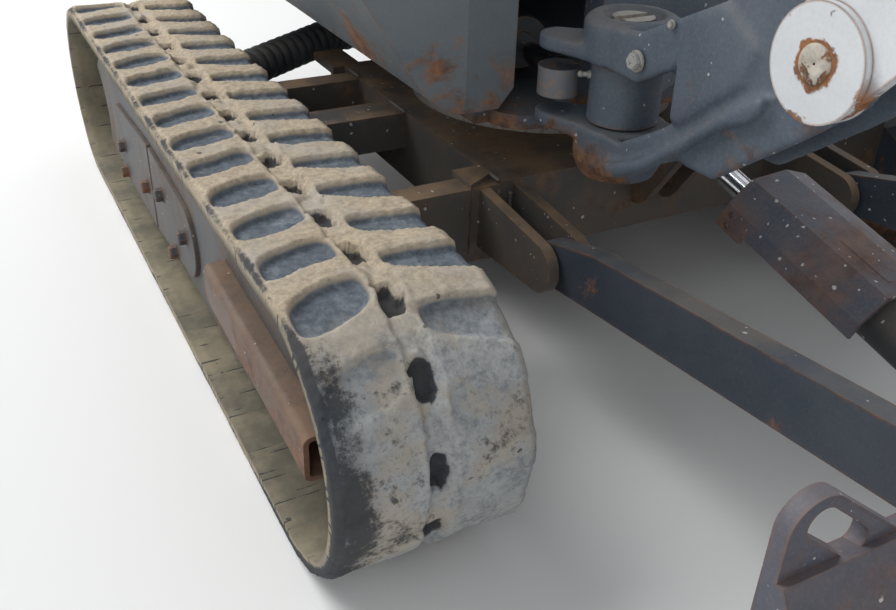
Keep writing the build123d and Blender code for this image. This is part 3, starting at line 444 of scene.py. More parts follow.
finishes = {
    "frame": paintedSteel("framePaint", {"lowRust": (0.06, 0.24, 0.30)}),
    "plate": paintedSteel("platePaint", {
        "paint": (0.045, 0.050, 0.056, 1), "paintAlt": (0.082, 0.070, 0.058, 1), "rustCover": 0.34,
        "rustSoft": 0.12, "rust": (0.15, 0.085, 0.05, 1), "rustScale": 4.0, "fleckShare": 0.08,
    }),
    "beam": paintedSteel("beamPaint", {
        "paint": (0.048, 0.047, 0.046, 1), "paintAlt": (0.080, 0.066, 0.052, 1), "rustCover": 0.36,
        "rustSoft": 0.1, "dust": (0.235, 0.15, 0.08, 1), "dustAmount": 0.75, "dustScale": 14.0,
        "rust": (0.19, 0.105, 0.055, 1),
    }),
    # house panels: the slate paint made lighter by a painted haze of light
    "house": paintedSteel("housePaintWithPaintedHaze", {
        "paint": (0.090, 0.115, 0.138, 1), "paintAlt": (0.128, 0.15, 0.165, 1), "rustCover": 0.15,
        "paintWorn": (0.18, 0.19, 0.19, 1), "edgeRust": 0.55, "dustAmount": 0.4, "fleckShare": 0.04,
        "rustSoft": 0.05, "rust": (0.30, 0.135, 0.06, 1), "rustDark": (0.10, 0.06, 0.042, 1),
        "lowRust": (0.44, 0.60, 0.33),
    }),
    "casting": paintedSteel("castingPaint", {
        "paint": (0.054, 0.075, 0.102, 1), "paintAlt": (0.084, 0.108, 0.142, 1), "bump": 0.9,
        "paintWorn": (0.20, 0.21, 0.215, 1), "rustCover": 0.2, "edgeRust": 0.85, "rustSoft": 0.05,
        "rust": (0.26, 0.13, 0.065, 1), "lowRust": (0.355, 0.45, 0.40),
    }),
    "rusty": paintedSteel("rustyPlate", {
        "paint": (0.042, 0.060, 0.090, 1), "paintAlt": (0.095, 0.088, 0.105, 1), "rustCover": 0.43,
        "rust": (0.185, 0.105, 0.076, 1), "rustDark": (0.078, 0.048, 0.042, 1), "rustSoft": 0.09,
        "paintWorn": (0.20, 0.17, 0.175, 1), "fleckScale": 100.0, "fleckShare": 0.34,
        "fleck": (0.66, 0.64, 0.62, 1), "dustAmount": 0.3, "dust": (0.26, 0.20, 0.175, 1), "gloss": 0.42,
    }),
    "step": paintedSteel("stepPaint", {
        "paint": (0.062, 0.048, 0.040, 1), "paintAlt": (0.115, 0.076, 0.052, 1), "rustCover": 0.46,
        "rust": (0.20, 0.095, 0.052, 1), "rustDark": (0.075, 0.042, 0.031, 1), "rustSoft": 0.12,
        "paintWorn": (0.24, 0.18, 0.15, 1), "fleckShare": 0.12, "dustAmount": 0.5,
        "dust": (0.27, 0.185, 0.12, 1),
    }),
    "pinFace": paintedSteel("pinFacePaint", {
        "paint": (0.56, 0.52, 0.45, 1), "paintAlt": (0.42, 0.35, 0.27, 1), "rustScale": 42.0,
        "toneScale": 30.0, "rustCover": 0.42, "rust": (0.24, 0.12, 0.06, 1), "edgeWidth": 0.003,
        "edgeRust": 1.0, "fleckShare": 0.0,
    }),
    "white": paintedSteel("whitePaint", {
        "paint": (0.72, 0.74, 0.76, 1), "paintAlt": (0.63, 0.655, 0.675, 1),
        "paintWorn": (0.55, 0.55, 0.53, 1), "rustCover": 0.12, "rust": (0.34, 0.14, 0.05, 1),
        "rustDark": (0.13, 0.065, 0.04, 1), "edgeRust": 0.95, "edgeWidth": 0.004, "dustAmount": 0.22,
        "fleckShare": 0.03, "fleck": (0.2, 0.12, 0.08, 1), "gloss": 0.28, "pin": (0, -822, 608),
    }),
    "canopy": paintedSteel("canopyPaint", {
        "rustCover": 0.12, "edgeRust": 0.4, "dustAmount": 0.3, "gloss": 0.35,
    }),
    "barrel": paintedSteel("barrelPaint", {
        "paint": (0.02, 0.022, 0.025, 1), "paintAlt": (0.035, 0.037, 0.04, 1), "dustAmount": 0.45,
    }),
    "iron": paintedSteel("engineIron", {"paint": (0.05, 0.05, 0.05, 1), "bump": 1.0}),
    "bolt": paintedSteel("boltZinc", {
        "paint": (0.30, 0.31, 0.30, 1), "paintAlt": (0.42, 0.42, 0.40, 1), "rustCover": 0.3, "gloss": 0.35,
        "rustScale": 60.0, "dustAmount": 0.5, "dust": (0.42, 0.38, 0.31, 1), "edgeWidth": 0.0012,
    }),
    "weld": paintedSteel("weldPaint", {
        "paint": (0.05, 0.052, 0.056, 1), "paintAlt": (0.09, 0.075, 0.062, 1), "rustCover": 0.36,
        "edgeRust": 0.2,
    }),
    "bare": chromedSteel("bareSteel", {
        "bright": (0.42, 0.4, 0.37, 1), "dull": (0.2, 0.15, 0.11, 1), "rough": 0.4,
    }),
    "vinyl": grainedPolymer("seatVinyl", {
        "base": (0.022, 0.022, 0.024, 1), "rubbed": (0.05, 0.05, 0.052, 1), "dust": (0.2, 0.18, 0.15, 1),
        "dustAmount": 0.2, "grainScale": 700.0, "rough": 0.5,
    }),
    "plastic": grainedPolymer("leverPlastic", {
        "base": (0.02, 0.02, 0.021, 1), "rubbed": (0.04, 0.04, 0.042, 1), "dust": (0.2, 0.18, 0.15, 1),
        "dustAmount": 0.25, "grainScale": 900.0, "rough": 0.45,
    }),
    "sleeve": grainedPolymer("sleeveRubber", {
        "base": (0.028, 0.034, 0.042, 1), "rubbed": (0.06, 0.07, 0.08, 1), "dust": (0.19, 0.175, 0.15, 1),
        "dustAmount": 0.5, "grainScale": 420.0, "rough": 0.55,
    }),
    # track: the pocket colours are bare rubber in painted shade; the front colours are dust in painted shade
    "rubber": muddyRubber("trackRubber", {
        "mud": (0.56, 0.465, 0.34, 1), "mudDark": (0.32, 0.27, 0.205, 1), "mudGrey": (0.42, 0.40, 0.37, 1),
        "rubber": (0.17, 0.195, 0.225, 1), "pocketRubberShadeDark": (0.085, 0.10, 0.12, 1),
        "pocketRubberShadePale": (0.27, 0.295, 0.32, 1), "frontShadedDust": (0.46, 0.48, 0.485, 1),
        "frontShadedDustDark": (0.21, 0.235, 0.26, 1), "ledge": (0.27, 0.235, 0.165, 1),
        "ledgeDark": (0.14, 0.13, 0.10, 1), "black": (0.032, 0.037, 0.046, 1),
    }),
}
# CAD nodes that aren't named here take the finish "frame".
nodeFinish = {
    "track_left": "rubber", "track_right": "rubber", "step_bars": "step", "centre_frame": "beam",
    "slew_ring": "bare", "travel_hoses": "sleeve", "blade_board": "rusty", "blade_cylinder": "barrel",
    "blade_cylinder_guard": "rusty", "revolving_frame": "casting", "right_cover": "house",
    "left_skirt": "house", "floor_deck": "house", "engine": "iron", "counterweight": "house",
    "side_panels": "house", "engine_hood": "white", "seat_base": "house", "seat": "vinyl",
    "joystick_consoles": "plastic", "travel_levers": "plastic", "canopy_frame": "canopy",
    "canopy_roof": "white", "swing_bracket": "casting", "king_pin": "bare", "swing_cylinder": "barrel",
    "boom": "white", "boom_cylinder": "white", "arm": "white", "arm_cylinder": "white",
    "bucket_cylinder": "white", "bucket": "rusty",
}
# The rods' welded eyes: place, which directions count, and radius in metres.
bucketRodLow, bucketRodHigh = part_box("bucket_cylinder_rod")
eyeInset = 0.026      # metres from the edge of the rod's box to the middle of its eye
bucketSpot = np.array([slewX, bucketRodHigh[1] - eyeInset, bucketRodLow[2] + eyeInset])
bucketEye = tuple((bucketSpot - place([0, 0, 0])) * 1000)
rodEyes = {
    "blade_cylinder_rod": ((0, -400, 341), (0, 1, 1), 0.0245),
    "swing_cylinder_rod": ((-240, -404, 467), (1, 1, 0), 0.0265),
    "boom_cylinder_rod": ((0, -1240, 1450), (0, 1, 1), 0.034),
    "arm_cylinder_rod": ((0, -2241.2, 1660.9), (0, 1, 1), 0.034),
    "bucket_cylinder_rod": (bucketEye, (0, 1, 1), 0.030),
}
for nodeName, eye in rodEyes.items():
    finishes[nodeName] = chromedSteel("steel_" + nodeName, {**cast, "eye": eye})
    nodeFinish[nodeName] = nodeName
for nodeName, node in nodes.items():
    for materialSlot in node.material_slots:
        materialSlot.material = finishes[nodeFinish.get(nodeName, "frame")]
print("finishes set on", len(nodes), "nodes")

# One rubber belt: a closed cross section carried round the idler and the sprocket.
belt = {
    "idlerY": -560.0, "sprocketY": 645.0, "axleZ": 175.0, "radius": 175.0, "thick": 26.0, "outer": 680.0,
    "wide": 230.0, "links": 36, "pocketDeep": 12.0, "outerPocketAt": 60.0, "innerPocketAt": 8.0,
    "holeAt": 52.0, "bandDeep": 7.0, "holeDeep": 17.0, "alongSteps": 1080, "acrossSteps": 76,
    "innerSteps": 14, "neutral": 12.0, "outerMiddle": 54.0, "outerHalf": (28, 47), "outerSlant": 0.29,
    "innerMiddle": 180.0, "innerEdge": 185.0, "innerHalf": (25, 50), "innerSlant": 0.24, "innerFlare": 0.07,
    "holeMiddle": 115.0, "holeHalf": (22, 12), "band": (100.0, 135.0), "skinDeep": 1.6, "shoulderDeep": 5,
    "clumpHigh": 5, "underside": 1.2, "creaseHigh": 1.4, "creasePitch": 47.7, "creaseWide": 3,
    "creaseApart": 14, "creaseFrom": 50,
}


def beltPath(s, b):
    # stadium path: straight top run, half circle, straight bottom run, half circle
    # gives each step's place and the angle of its outward direction
    r = b["radius"]
    run = b["sprocketY"] - b["idlerY"]
    bend = r - b["neutral"]         # the length is kept along the steel cords, inside the rubber
    half = math.pi * bend
    total = 2 * run + 2 * half
    s = s % total
    y = np.zeros_like(s)
    z = np.zeros_like(s)
    angle = np.zeros_like(s)
    top = s < run
    back = (s >= run) & (s < run + half)
    low = (s >= run + half) & (s < 2 * run + half)
    fore = s >= 2 * run + half
    angle[top] = math.pi / 2
    y[top] = b["idlerY"] + s[top]
    angle[back] = math.pi / 2 - (s[back] - run) / bend
    y[back] = b["sprocketY"]
    angle[low] = -math.pi / 2
    y[low] = b["sprocketY"] - (s[low] - run - half)
    angle[fore] = -math.pi / 2 - (s[fore] - 2 * run - half) / bend
    y[fore] = b["idlerY"]
    z[:] = b["axleZ"]
    return y, z, angle, total


def pocketShape(along, across, halfLong, halfWide, power=3.4):
    # rounded oblong: one inside, nought outside, with a soft rim
    d = (np.abs(along) / halfLong) ** power + (np.abs(across) / halfWide) ** power
    return 1 - smoothStep(0.5, 1.25, d)


def treadHeight(s, x, total, b, seed):
    # x runs in from the outer edge, p from the top of the idler, backwards positive
    # depths are in millimetres under the lugs
    pitch = total / b["links"]
    p = (s + total / 2) % total - total / 2
    rounding = smoothStep(-640, -560, p)        # nought under the machine, one from the idler on
    # the front from the idler on, whose dust is coloured as painted shade
    frontShadedDust = smoothStep(-25, -140, p) * rounding
    fill = 1 - 0.66 * smoothStep(-75, -150, p) * rounding       # pockets at the worn front are part filled
    wobble = valueNoise(p / 45 + 90, x / 50, seed) * 8          # the pockets' rims wander

    def stepped(at, slant):
        return (p - at - slant + wobble + pitch / 2) % pitch - pitch / 2

    fromOuter, fromInner = x - b["outerMiddle"], x - b["innerMiddle"]
    outer = pocketShape(stepped(b["outerPocketAt"], fromOuter * b["outerSlant"]), fromOuter, *b["outerHalf"])
    innerLong, innerWide = b["innerHalf"]
    inner = pocketShape(stepped(b["innerPocketAt"], -fromInner * b["innerSlant"]),
                        np.minimum(x - b["innerEdge"], 0), innerLong + fromInner * b["innerFlare"], innerWide)
    tread = np.maximum(outer, inner)
    fringe = x + valueNoise(p / 14 + 130, x / 14, seed + 3) * 6
    bandLow, bandHigh = b["band"]
    band = smoothStep(bandLow, bandLow + 5, fringe) * smoothStep(bandHigh, bandHigh - 6, fringe)
    chew = valueNoise(p / 8 + 230, x / 8, seed + 5) * 1.5       # torn rims of the centre holes
    along = stepped(b["holeAt"], 0)
    holeLong, holeWide = b["holeHalf"]
    hole = (np.abs(along) / holeLong) ** 3 + (np.abs(x - b["holeMiddle"]) / holeWide) ** 3
    hole = 1 - smoothStep(0.6, 1.15, hole + chew)
    clump = smoothStep(0.16, 0.34, valueNoise(p / 19 + 60, x / 13, seed + 9))
    clump = clump * smoothStep(94, 104, x) * smoothStep(142, 130, x) * (1 - hole)       # crumbs between them
    rough = valueNoise(p / 16 + 140, x / 16, seed + 1) * 2.4 + valueNoise(p / 5 + 20, x / 5, seed + 2) * 1.1
    ribs = np.sin(p / 2.4) * 0.7 * np.exp(-((x - 5) / 5) ** 2)
    shoulder = smoothStep(9, 0, x) + smoothStep(b["wide"] - 9, b["wide"], x)
    depth = b["skinDeep"] + tread * b["pocketDeep"] * fill + band * b["bandDeep"] + shoulder * b["shoulderDeep"]
    depth = depth + hole * b["holeDeep"] - clump * b["clumpHigh"] - rough - ribs
    # bare: darker at the outer edge, painted shade in the centre holes, and darker towards the edge on the
    # front as painted shade
    bare = hole * 1.1 + 0.5 * smoothStep(10, 3, x) + 0.3 * frontShadedDust * smoothStep(60, 15, x)
    return np.clip(depth, 0, b["thick"] - 3), np.clip(tread * (0.25 + 0.75 * fill), 0, 1), bare, frontShadedDust


def makeTrack(name, side, seed):
    b = belt
    total = beltPath(np.array([0.0]), b)[3]
    s = np.arange(b["alongSteps"]) * total / b["alongSteps"]
    x = np.linspace(0, b["wide"], b["acrossSteps"])
    gridS, gridX = np.meshgrid(s, x, indexing="ij")
    depth, tread, bare, frontShadedDust = treadHeight(gridS, gridX, total, b, seed)
    y, z, angle, total = beltPath(s, b)
    inside = np.linspace(b["wide"], 0, b["innerSteps"])
    innerS, innerX = np.meshgrid(s, inside, indexing="ij")
    broken = smoothStep(-0.12, 0.1, valueNoise(innerS / 30, innerX / 22, seed + 7))
    every, thin = b["creasePitch"], b["creaseWide"]
    crease = (innerS % every < thin) | ((innerS - b["creaseApart"]) % every < thin)     # pairs of fine lines
    crease = crease * (np.abs(innerX - b["wide"] / 2) > b["creaseFrom"]) * broken
    under = b["radius"] - b["thick"] + b["underside"] + b["creaseHigh"] * crease
    radius = np.concatenate([b["radius"] - depth, under], axis=1)
    across = np.concatenate([gridX, innerX], axis=1)
    px = side * (b["outer"] - across)
    py = y[:, None] + radius * np.cos(angle)[:, None]
    pz = z[:, None] + radius * np.sin(angle)[:, None]
    points = place(np.stack([px, py, pz], axis=-1).reshape(-1, 3))
    quads = gridQuads(px.shape[0], px.shape[1], True, True, flip=side > 0)
    obj = meshFrom(name, points, quads, "undercarriage", finishes["rubber"])
    plain = np.zeros_like(innerX)
    # the underside's fine creases are darkened as painted shade
    fields = {"tread": (tread, plain), "bare": (bare, crease * 0.8),
              "frontShadedDust": (frontShadedDust, plain), "ledge": (gridX * 0, plain + 1)}
    for label, parts in fields.items():
        attribute = obj.data.attributes.new(label, "FLOAT", "POINT")
        attribute.data.foreach_set("value", np.concatenate(parts, axis=1).astype(np.float32).ravel())
    return obj


for trackName, side, seed in (("track_left", 1, 3), ("track_right", -1, 11)):
    skin = makeTrack("rubber_" + trackName, side, seed)
    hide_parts(trackName)
print("tracks made")

# Ribbed sleeves over the motor hoses: radius = base + rib * |sin(pi * length / pitch)| to a low power.
sleeve = {
    "foot": (465.0, 318.0, 234.0), "rise": 50.0, "run": (205.0, 470.0, 294.0), "end": (128.0, 470.0, 294.0),
    "radius": 29.5, "rib": 4.5, "pitch": 22.0, "bend": 38.0, "sides": 40, "every": 2.6, "cuff": (30, 26),
    "cuffHigh": 3.5, "widest": 34.0,
}


def roundedPath(corners, bend, every):
    # straight runs joined by quadratic bends that leave each corner by the bend's length, at even steps
    corners = np.asarray(corners, float)
    pieces = [corners[:1]]
    for before, corner, after in zip(corners, corners[1:], corners[2:]):
        leave = corner + (before - corner) / np.linalg.norm(before - corner) * bend
        enter = corner + (after - corner) / np.linalg.norm(after - corner) * bend
        t = np.linspace(0, 1, 24)[:, None]
        pieces.append(leave * (1 - t) ** 2 + corner * 2 * t * (1 - t) + enter * t ** 2)
    path = np.concatenate(pieces + [corners[-1:]])
    far = np.concatenate([[0], np.cumsum(np.linalg.norm(np.diff(path, axis=0), axis=1))])
    even = np.linspace(0, far[-1], int(far[-1] / every) + 1)
    return np.stack([np.interp(even, far, path[:, k]) for k in range(3)], axis=1), even


def makeSleeves():
    footX, footY, footZ = sleeve["foot"]
    knee = (footX, footY, footZ + sleeve["rise"])
    cuffEnd, cuffFull = sleeve["cuff"]
    rings = []
    for side in (-1, 1):
        corners = [(side * x, y, z) for x, y, z in (sleeve["foot"], knee, sleeve["run"], sleeve["end"])]
        path, far = roundedPath(corners, sleeve["bend"], sleeve["every"])
        rib = sleeve["rib"] * np.abs(np.sin(math.pi * far / sleeve["pitch"])) ** 0.6
        cuff = smoothStep(cuffEnd, cuffFull, far) + smoothStep(far[-1] - cuffEnd, far[-1] - cuffFull, far)
        radii = np.minimum(sleeve["radius"] + rib + sleeve["cuffHigh"] * cuff, sleeve["widest"])
        rings.append(tubeAlong(path, radii, sleeve["sides"], (0, 1, 0)))
    return joinedMesh("hose_sleeves", rings, "undercarriage", finishes["sleeve"])


sleeves = makeSleeves()
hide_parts("travel_hoses")

# The bolted plates on the side frames: outlines in (along, up), with arcs written out by arcPoints.
plates = {"inner": 626.0, "face": 643.0, "doubler": 650.0, "low": 64.0, "high": 258.0, "bevel": 1.6}


def arcPoints(centre, radius, start, stop, count=14):
    # centre + radius * (cos a, sin a), angles in degrees
    a = np.radians(np.linspace(start, stop, count))
    return [(centre[0] + radius * math.cos(v), centre[1] + radius * math.sin(v)) for v in a]


def slabMesh(name, slabs, body, material, bevel):
    # each slab is a flat outline pushed out along X; both faces and the edge band
    points, faces = [], []
    for outline, x0, x1 in slabs:
        n, start = len(outline), len(points)
        points += [(x0, y, z) for y, z in outline] + [(x1, y, z) for y, z in outline]
        near, far = [start + i for i in range(n)], [start + n + i for i in range(n)]
        faces += [near[::-1], far]
        faces += [[near[i], near[(i + 1) % n], far[(i + 1) % n], far[i]] for i in range(n)]
    obj = meshFrom(name, place(points), faces, body, material, smooth=False)
    turnOutward(obj)
    rounding = obj.modifiers.new("bevel", "BEVEL")
    rounding.width, rounding.segments, rounding.limit_method = bevel / 1000, 2, "ANGLE"
    return obj


def turnOutward(obj):
    form = bmesh.new()
    form.from_mesh(obj.data)
    bmesh.ops.recalc_face_normals(form, faces=form.faces)
    form.to_mesh(obj.data)
    form.free()


def makePlates():
    p = plates
    low, high = p["low"], p["high"]
    main = [(-600, 128), (-540, 96), (-440, 74), (-300, low), (600, low)]
    main += arcPoints((745, 120), 112, 205, 118, 12) + [(640, high), (-562, high)]
    rear = [(205, low + 3), (480, low + 3), (500, 90), (500, 190), (480, 206), (205, 222)]
    fore = arcPoints((-20, 150), 62, 250, 110, 12) + [(60, 216), (195, 222), (195, low + 3)]
    slabs = []
    for side in (-1, 1):
        slabs.append((main, side * p["inner"], side * p["face"]))
        slabs += [(patch, side * (p["face"] - 1), side * p["doubler"]) for patch in (rear, fore)]
    slabMesh("side_plates", slabs, "undercarriage", finishes["plate"], p["bevel"])


makePlates()

# Bolt heads, nipple and pin faces: turned profiles, six-sided for the heads.
fittings = {
    "railBolts": ((435.0, 137.0), (236.0, 134.0), (442.0, 82.0), (116.0, 168.0), (-31.0, 158.0), (54.0, 92.0)),
    "railFace": 649.0, "bracketBolts": ((-558.0, 533.0, 17.0), (-607.0, 585.0, 7.0)), "bracketFace": 244.0,
    "kingX": 190.0, "nipple": (-229.0, -455.0, 486.0), "nippleAxis": (-0.88, 0.47, 0), "railBolt": (20, 14),
    "footPin": (-822.0, 608.0), "footFace": 78.0, "pinR": 17.5,
}


def boltRings(centre, axis, across, high):
    # washer, then a head with a chamfered top
    r = across / 2 / math.cos(math.pi / 6)
    head = turnedShape([(0, r), (high * 0.8, r), (high, r * 0.86)], centre, axis, 6)
    washer = turnedShape([(-1, across * 0.72), (1.4, across * 0.72), (2.0, across * 0.66)], centre, axis, 24)
    return [washer, head]


def makeFittings():
    f = fittings
    rails, bracket = [], []
    for side in (-1, 1):
        for y, z in f["railBolts"]:
            rails += boltRings((side * f["railFace"], y, z), (side, 0, 0), *f["railBolt"])
    for y, z, across in f["bracketBolts"]:
        bracket += boltRings((-f["bracketFace"], y, z), (-1, 0, 0), across, across * 0.5)
    nippleProfile = [(-6, 5), (3, 5), (3.2, 3.2), (9, 3.0), (11, 4.2), (13, 4.2), (15, 2)]
    bracket.append(turnedShape(nippleProfile, f["nipple"], f["nippleAxis"], 14))
    joinedMesh("rail_bolts", rails, "undercarriage", finishes["frame"], smooth=False)
    joinedMesh("bracket_fittings", bracket, "swing", finishes["bolt"], smooth=False)
    pins = []
    for side in (-1, 1):
        face = (-f["kingX"] + side * f["footFace"], *f["footPin"])
        r = f["pinR"]
        profile = [(-4, r), (1.0, r), (2.2, r - 1.4), (2.4, r * 0.45), (1.2, r * 0.3), (1.0, r * 0.06)]
        pins.append(turnedShape(profile, face, (side, 0, 0), 48))
    joinedMesh("foot_pin_faces", pins, "boom", finishes["pinFace"])


makeFittings()

# Weld beads lie in the corners of the cross beams: where each run starts and where it ends.
weld = {
    "runs": (((-270, -325, 301), (-270, -284, 301)), ((-271, -326, 200), (-271, -326, 290)),
             ((-271, -18, 299), (-271, 41, 299)), ((-252, -327, 218), (-252, -327, 284)),
             ((-270, 176, 300), (-270, 220, 300)), ((270, -325, 301), (270, -284, 301))),
    "radius": 3.4, "swell": 0.16, "ripple": 5.5, "every": 1.6, "taper": 4, "tip": 0.6,
}


def makeWelds():
    # a tube whose radius is base * (1 + swell * sin(2 pi * length / ripple)), drawn in at both ends
    w, rings = weld, []
    for a, b in w["runs"]:
        length = math.dist(a, b)
        far = np.linspace(0, length, int(length / w["every"]) + 2)
        path = np.asarray(a, float) + (np.asarray(b, float) - np.asarray(a, float)) * (far / length)[:, None]
        ends = np.minimum(far + w["tip"], length - far + w["tip"]) / w["taper"]
        radii = w["radius"] * (1 + w["swell"] * np.sin(far * 2 * math.pi / w["ripple"]))
        radii = radii * np.sqrt(np.clip(ends, 0.1, 1))
        aside = (0.3, 0.2, 1) if abs(b[2] - a[2]) < length * 0.7 else (1, 0.2, 0)
        rings.append(tubeAlong(path, radii, 12, aside))
    joinedMesh("weld_beads_undercarriage", rings, "undercarriage", finishes["weld"])


makeWelds()
print("sleeves, fittings and welds made")

# The casting's corners run into each other: its CAD surface, refilled with small voxels and relaxed.
casting = {"voxel": 0.004, "relax": 5, "strength": 0.5, "merge": 0.00005}


def makeCasting():
    source = nodes["swing_bracket"]
    mesh = source.data.copy()
    form = bmesh.new()
    form.from_mesh(mesh)
    bmesh.ops.remove_doubles(form, verts=form.verts, dist=casting["merge"])
    form.to_mesh(mesh)
    form.free()
    obj = bpy.data.objects.new("bracket_casting", mesh)
    bpy.context.scene.collection.objects.link(obj)
    remesh = obj.modifiers.new("remesh", "REMESH")
    remesh.mode, remesh.voxel_size = "VOXEL", casting["voxel"]
    relax = obj.modifiers.new("relax", "SMOOTH")
    relax.iterations, relax.factor = casting["relax"], casting["strength"]
    bakeModifiers(obj)
    obj.data.shade_smooth()
    obj.data.materials.clear()
    obj.data.materials.append(finishes["casting"])
    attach(obj, "swing")
    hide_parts("swing_bracket")
    print("casting has", len(obj.data.polygons), "faces")


# Seat pads: a rounded box, remeshed, swollen as cloth under pressure, then sewn lines pressed in.
# Each has its own frame: middle of the underside, then where its width, length and thickness point.
pads = {
    "seat_cushion": {"size": (440.0, 420.0, 72.0), "round": 30.0, "middle": (60.0, 280.0, 940.6),
                     "tilt": 0.0, "upright": False, "channel": 120.0},
    "seat_backrest": {"size": (410.0, 460.0, 70.0), "round": 30.0, "middle": (60.0, 541.0, 1232.5),
                      "tilt": 10.0, "upright": True, "channel": 105.0},
}
padWork = {
    "voxel": 0.006, "cuts": 22, "pressure": 4.0, "cap": 0.012, "lastFrame": 20, "seamDeep": 4.5,
    "seamWide": 5.0, "beadHigh": 2.4, "beadWide": 4.0, "seamFade": 30, "beadFrom": 60,
}


def padFrame(pad):
    # rows are the directions of width, length and thickness
    t = math.radians(pad["tilt"])
    if pad["upright"]:
        return np.array([(1, 0, 0), (0, math.sin(t), math.cos(t)), (0, -math.cos(t), math.sin(t))])
    return np.array([(1, 0, 0), (0, 1, 0), (0, 0, 1)], float)


def readPoints(mesh):
    flat = np.empty(len(mesh.vertices) * 3)
    mesh.vertices.foreach_get("co", flat)
    return flat.reshape(-1, 3)


def writePoints(mesh, points):
    mesh.vertices.foreach_set("co", points.astype(np.float32).ravel())
    mesh.update()


def bakeModifiers(obj):
    ready = obj.evaluated_get(bpy.context.evaluated_depsgraph_get())
    mesh = bpy.data.meshes.new_from_object(ready)
    obj.modifiers.clear()
    obj.data = mesh


def startPad(name, pad):
    # cube grid pulled to a rounded box: nearest point of the inner box, plus the radius along the way out
    form = bmesh.new()
    bmesh.ops.create_cube(form, size=1.0)
    bmesh.ops.subdivide_edges(form, edges=form.edges, cuts=padWork["cuts"], use_grid_fill=True)
    mesh = bpy.data.meshes.new(name)
    form.to_mesh(mesh)
    form.free()
    size, r = np.array(pad["size"]), pad["round"]
    p = readPoints(mesh) * size
    inner = np.clip(p, r - size / 2, size / 2 - r)
    out = p - inner
    p = inner + out / np.linalg.norm(out, axis=1)[:, None] * r
    p[:, 2] += size[2] / 2
    writePoints(mesh, place(np.array(pad["middle"]) + p @ padFrame(pad)))
    obj = bpy.data.objects.new(name, mesh)
    bpy.context.scene.collection.objects.link(obj)
    remesh = obj.modifiers.new("remesh", "REMESH")
    remesh.mode, remesh.voxel_size = "VOXEL", padWork["voxel"]
    bakeModifiers(obj)
    return obj


def swellPads(objects):
    starts = [readPoints(obj.data) for obj in objects]
    for obj in objects:
        cloth = obj.modifiers.new("cloth", "CLOTH")
        cloth.settings.quality = 5
        cloth.settings.use_pressure = True
        cloth.settings.uniform_pressure_force = padWork["pressure"]
        cloth.settings.effector_weights.gravity = 0
        cloth.point_cache.frame_start, cloth.point_cache.frame_end = 1, padWork["lastFrame"]
    for number in range(1, padWork["lastFrame"] + 1):
        bpy.context.scene.frame_set(number)
    for obj, start in zip(objects, starts):
        bakeModifiers(obj)
        shift = readPoints(obj.data) - start
        far = np.linalg.norm(shift, axis=1)[:, None]
        writePoints(obj.data, start + shift * np.minimum(1, padWork["cap"] / np.maximum(far, 1e-6)))
    bpy.context.scene.frame_set(1)


def sewPad(obj, pad):
    # in the pad's own frame: flat underside, two pressed channels on the face, a bead round its edge
    fine = obj.modifiers.new("fine", "SUBSURF")
    fine.levels = fine.render_levels = 1
    bakeModifiers(obj)
    turn, w = padFrame(pad), padWork
    q = ((readPoints(obj.data) - place(pad["middle"])) * 1000) @ turn.T
    thick = pad["size"][2]
    face = smoothStep(thick * 0.55, thick * 0.9, q[:, 2])
    half = pad["size"][1] / 2
    press = np.exp(-((np.abs(q[:, 0]) - pad["channel"]) / w["seamWide"]) ** 2)
    press = press * smoothStep(half, half - w["seamFade"], np.abs(q[:, 1]))
    q[:, 2] -= w["seamDeep"] * press * face
    bead = w["beadHigh"] * np.exp(-((q[:, 2] - thick * 0.72) / w["beadWide"]) ** 2)
    middle = np.array([pad["size"][0] / 2 - w["beadFrom"], pad["size"][1] / 2 - w["beadFrom"]])
    away = q[:, :2] - np.clip(q[:, :2], -middle, middle)
    q[:, :2] += away / np.maximum(np.linalg.norm(away, axis=1)[:, None], 1) * bead[:, None]
    q[:, 2] = np.maximum(q[:, 2], 0)
    writePoints(obj.data, place(np.array(pad["middle"]) + q @ turn))
    obj.data.shade_smooth()
    obj.data.materials.append(finishes["vinyl"])


makeCasting()
padObjects = [startPad(name, pad) for name, pad in pads.items()]
swellPads(padObjects)
for padObject, pad in zip(padObjects, pads.values()):
    sewPad(padObject, pad)
    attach(padObject, "house")
    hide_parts("seat")
print("seat pads made")

# Stage, lamps and the camera at the photograph's angle.
studio = {
    "floorHalf": 60, "floorColour": (0.84, 0.84, 0.83, 1), "floorFades": (3.2, 7.0),
    "worldColour": (0.95, 0.97, 1.0, 1), "worldStrength": 0.46,
    "lamps": {
        "keyLamp": {"spot": (-2.6, 3.4, 4.6), "aim": (0, -0.2, 0.4), "power": 285.0, "size": 3.5},
        "fillLamp": {"spot": (-3.6, -4.6, 3.6), "aim": (0, -0.2, 0.6), "power": 60.0, "size": 4.0},
    },
}


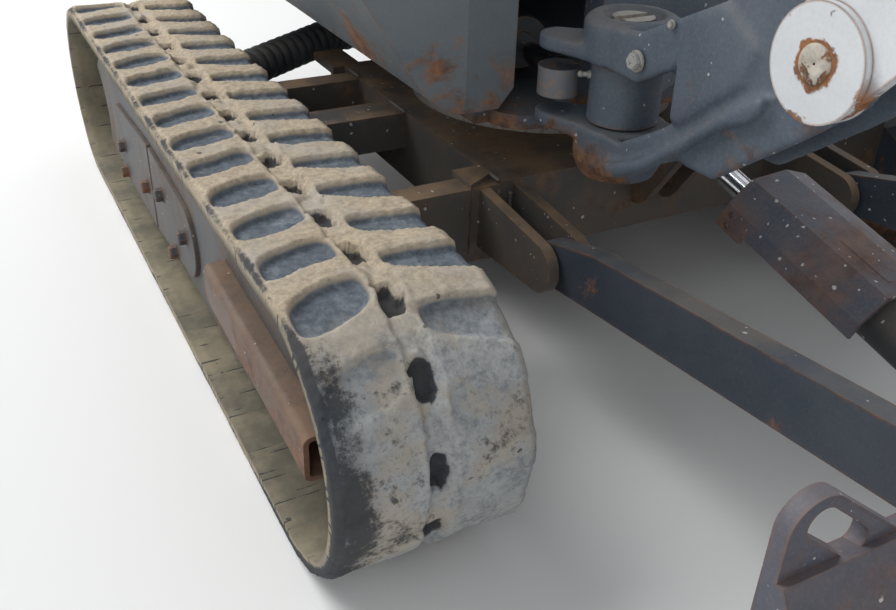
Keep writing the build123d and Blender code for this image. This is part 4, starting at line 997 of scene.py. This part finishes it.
def makeStage():
    mesh = bpy.data.meshes.new("floor")
    h = studio["floorHalf"]
    mesh.from_pydata([(-h, -h, 0), (h, -h, 0), (h, h, 0), (-h, h, 0)], [], [(0, 1, 2, 3)])
    floor = bpy.data.objects.new("floor", mesh)
    bpy.context.scene.collection.objects.link(floor)
    material, tree, shader, coords = startMaterial("floorPale")
    shader.inputs["Base Color"].default_value = studio["floorColour"]
    shader.inputs["Roughness"].default_value = 0.9
    far = easeBetween(tree, vectors(tree, "LENGTH", coords), *studio["floorFades"])     # plain white far off
    white = addNode(tree, "ShaderNodeEmission", None, {"Color": (1, 1, 1, 1), "Strength": 1.0})
    blend = addNode(tree, "ShaderNodeMixShader", None, {0: far, 1: shader.outputs[0], 2: white.outputs[0]})
    tree.links.new(blend.outputs[0], tree.nodes["Material Output"].inputs["Surface"])
    mesh.materials.append(material)
    world = bpy.data.worlds.new("studioWorld")
    bpy.context.scene.world = world
    world.use_nodes = True
    tree = world.node_tree
    back = tree.nodes["Background"]
    rays = addNode(tree, "ShaderNodeLightPath").outputs
    seen = larger(tree, rays["Is Camera Ray"], larger(tree, rays["Is Glossy Ray"], rays["Is Transmission Ray"]))
    tree.links.new(mixValue(tree, seen, studio["worldStrength"], 1.0), back.inputs["Strength"])
    back.inputs["Color"].default_value = studio["worldColour"]
    for label, setting in studio["lamps"].items():
        lamp = bpy.data.lights.new(label, "AREA")
        lamp.energy, lamp.size = setting["power"], setting["size"]
        holder = bpy.data.objects.new(label, lamp)
        bpy.context.scene.collection.objects.link(holder)
        holder.location = setting["spot"]
        holder.rotation_mode = "QUATERNION"
        aim = Vector(setting["aim"]) - Vector(setting["spot"])
        holder.rotation_quaternion = aim.to_track_quat("-Z", "Y")


# The camera solved from the photograph's track: place in millimetres, angles in degrees.
view = {"spot": (-914.85, -1388.77, 847.85), "azimuth": -28.15, "elevation": 31.16, "roll": 1.58,
        "focalPixels": 966.16, "imageWide": 896, "sensor": 36.0}


def makeCamera():
    az, el, roll = (math.radians(view[k]) for k in ("azimuth", "elevation", "roll"))
    back = Vector((math.sin(az) * math.cos(el), -math.cos(az) * math.cos(el), math.sin(el)))
    forward = -back
    right = forward.cross(Vector((0, 0, 1))).normalized()
    up = right.cross(forward)
    across = right * math.cos(roll) + up * math.sin(roll)
    over = up * math.cos(roll) - right * math.sin(roll)
    data = bpy.data.cameras.new("camera")
    data.sensor_fit, data.sensor_width = "HORIZONTAL", view["sensor"]
    data.lens = view["focalPixels"] / view["imageWide"] * view["sensor"]
    data.clip_start, data.clip_end = 0.02, 200.0
    camera = bpy.data.objects.new("camera", data)
    bpy.context.scene.collection.objects.link(camera)
    turn = Matrix((across, over, back)).transposed().to_4x4()
    camera.matrix_world = Matrix.Translation(Vector(place(view["spot"]))) @ turn
    bpy.context.scene.camera = camera


makeStage()
makeCamera()
bpy.context.scene.view_settings.view_transform = "Standard"
print("scene ready")
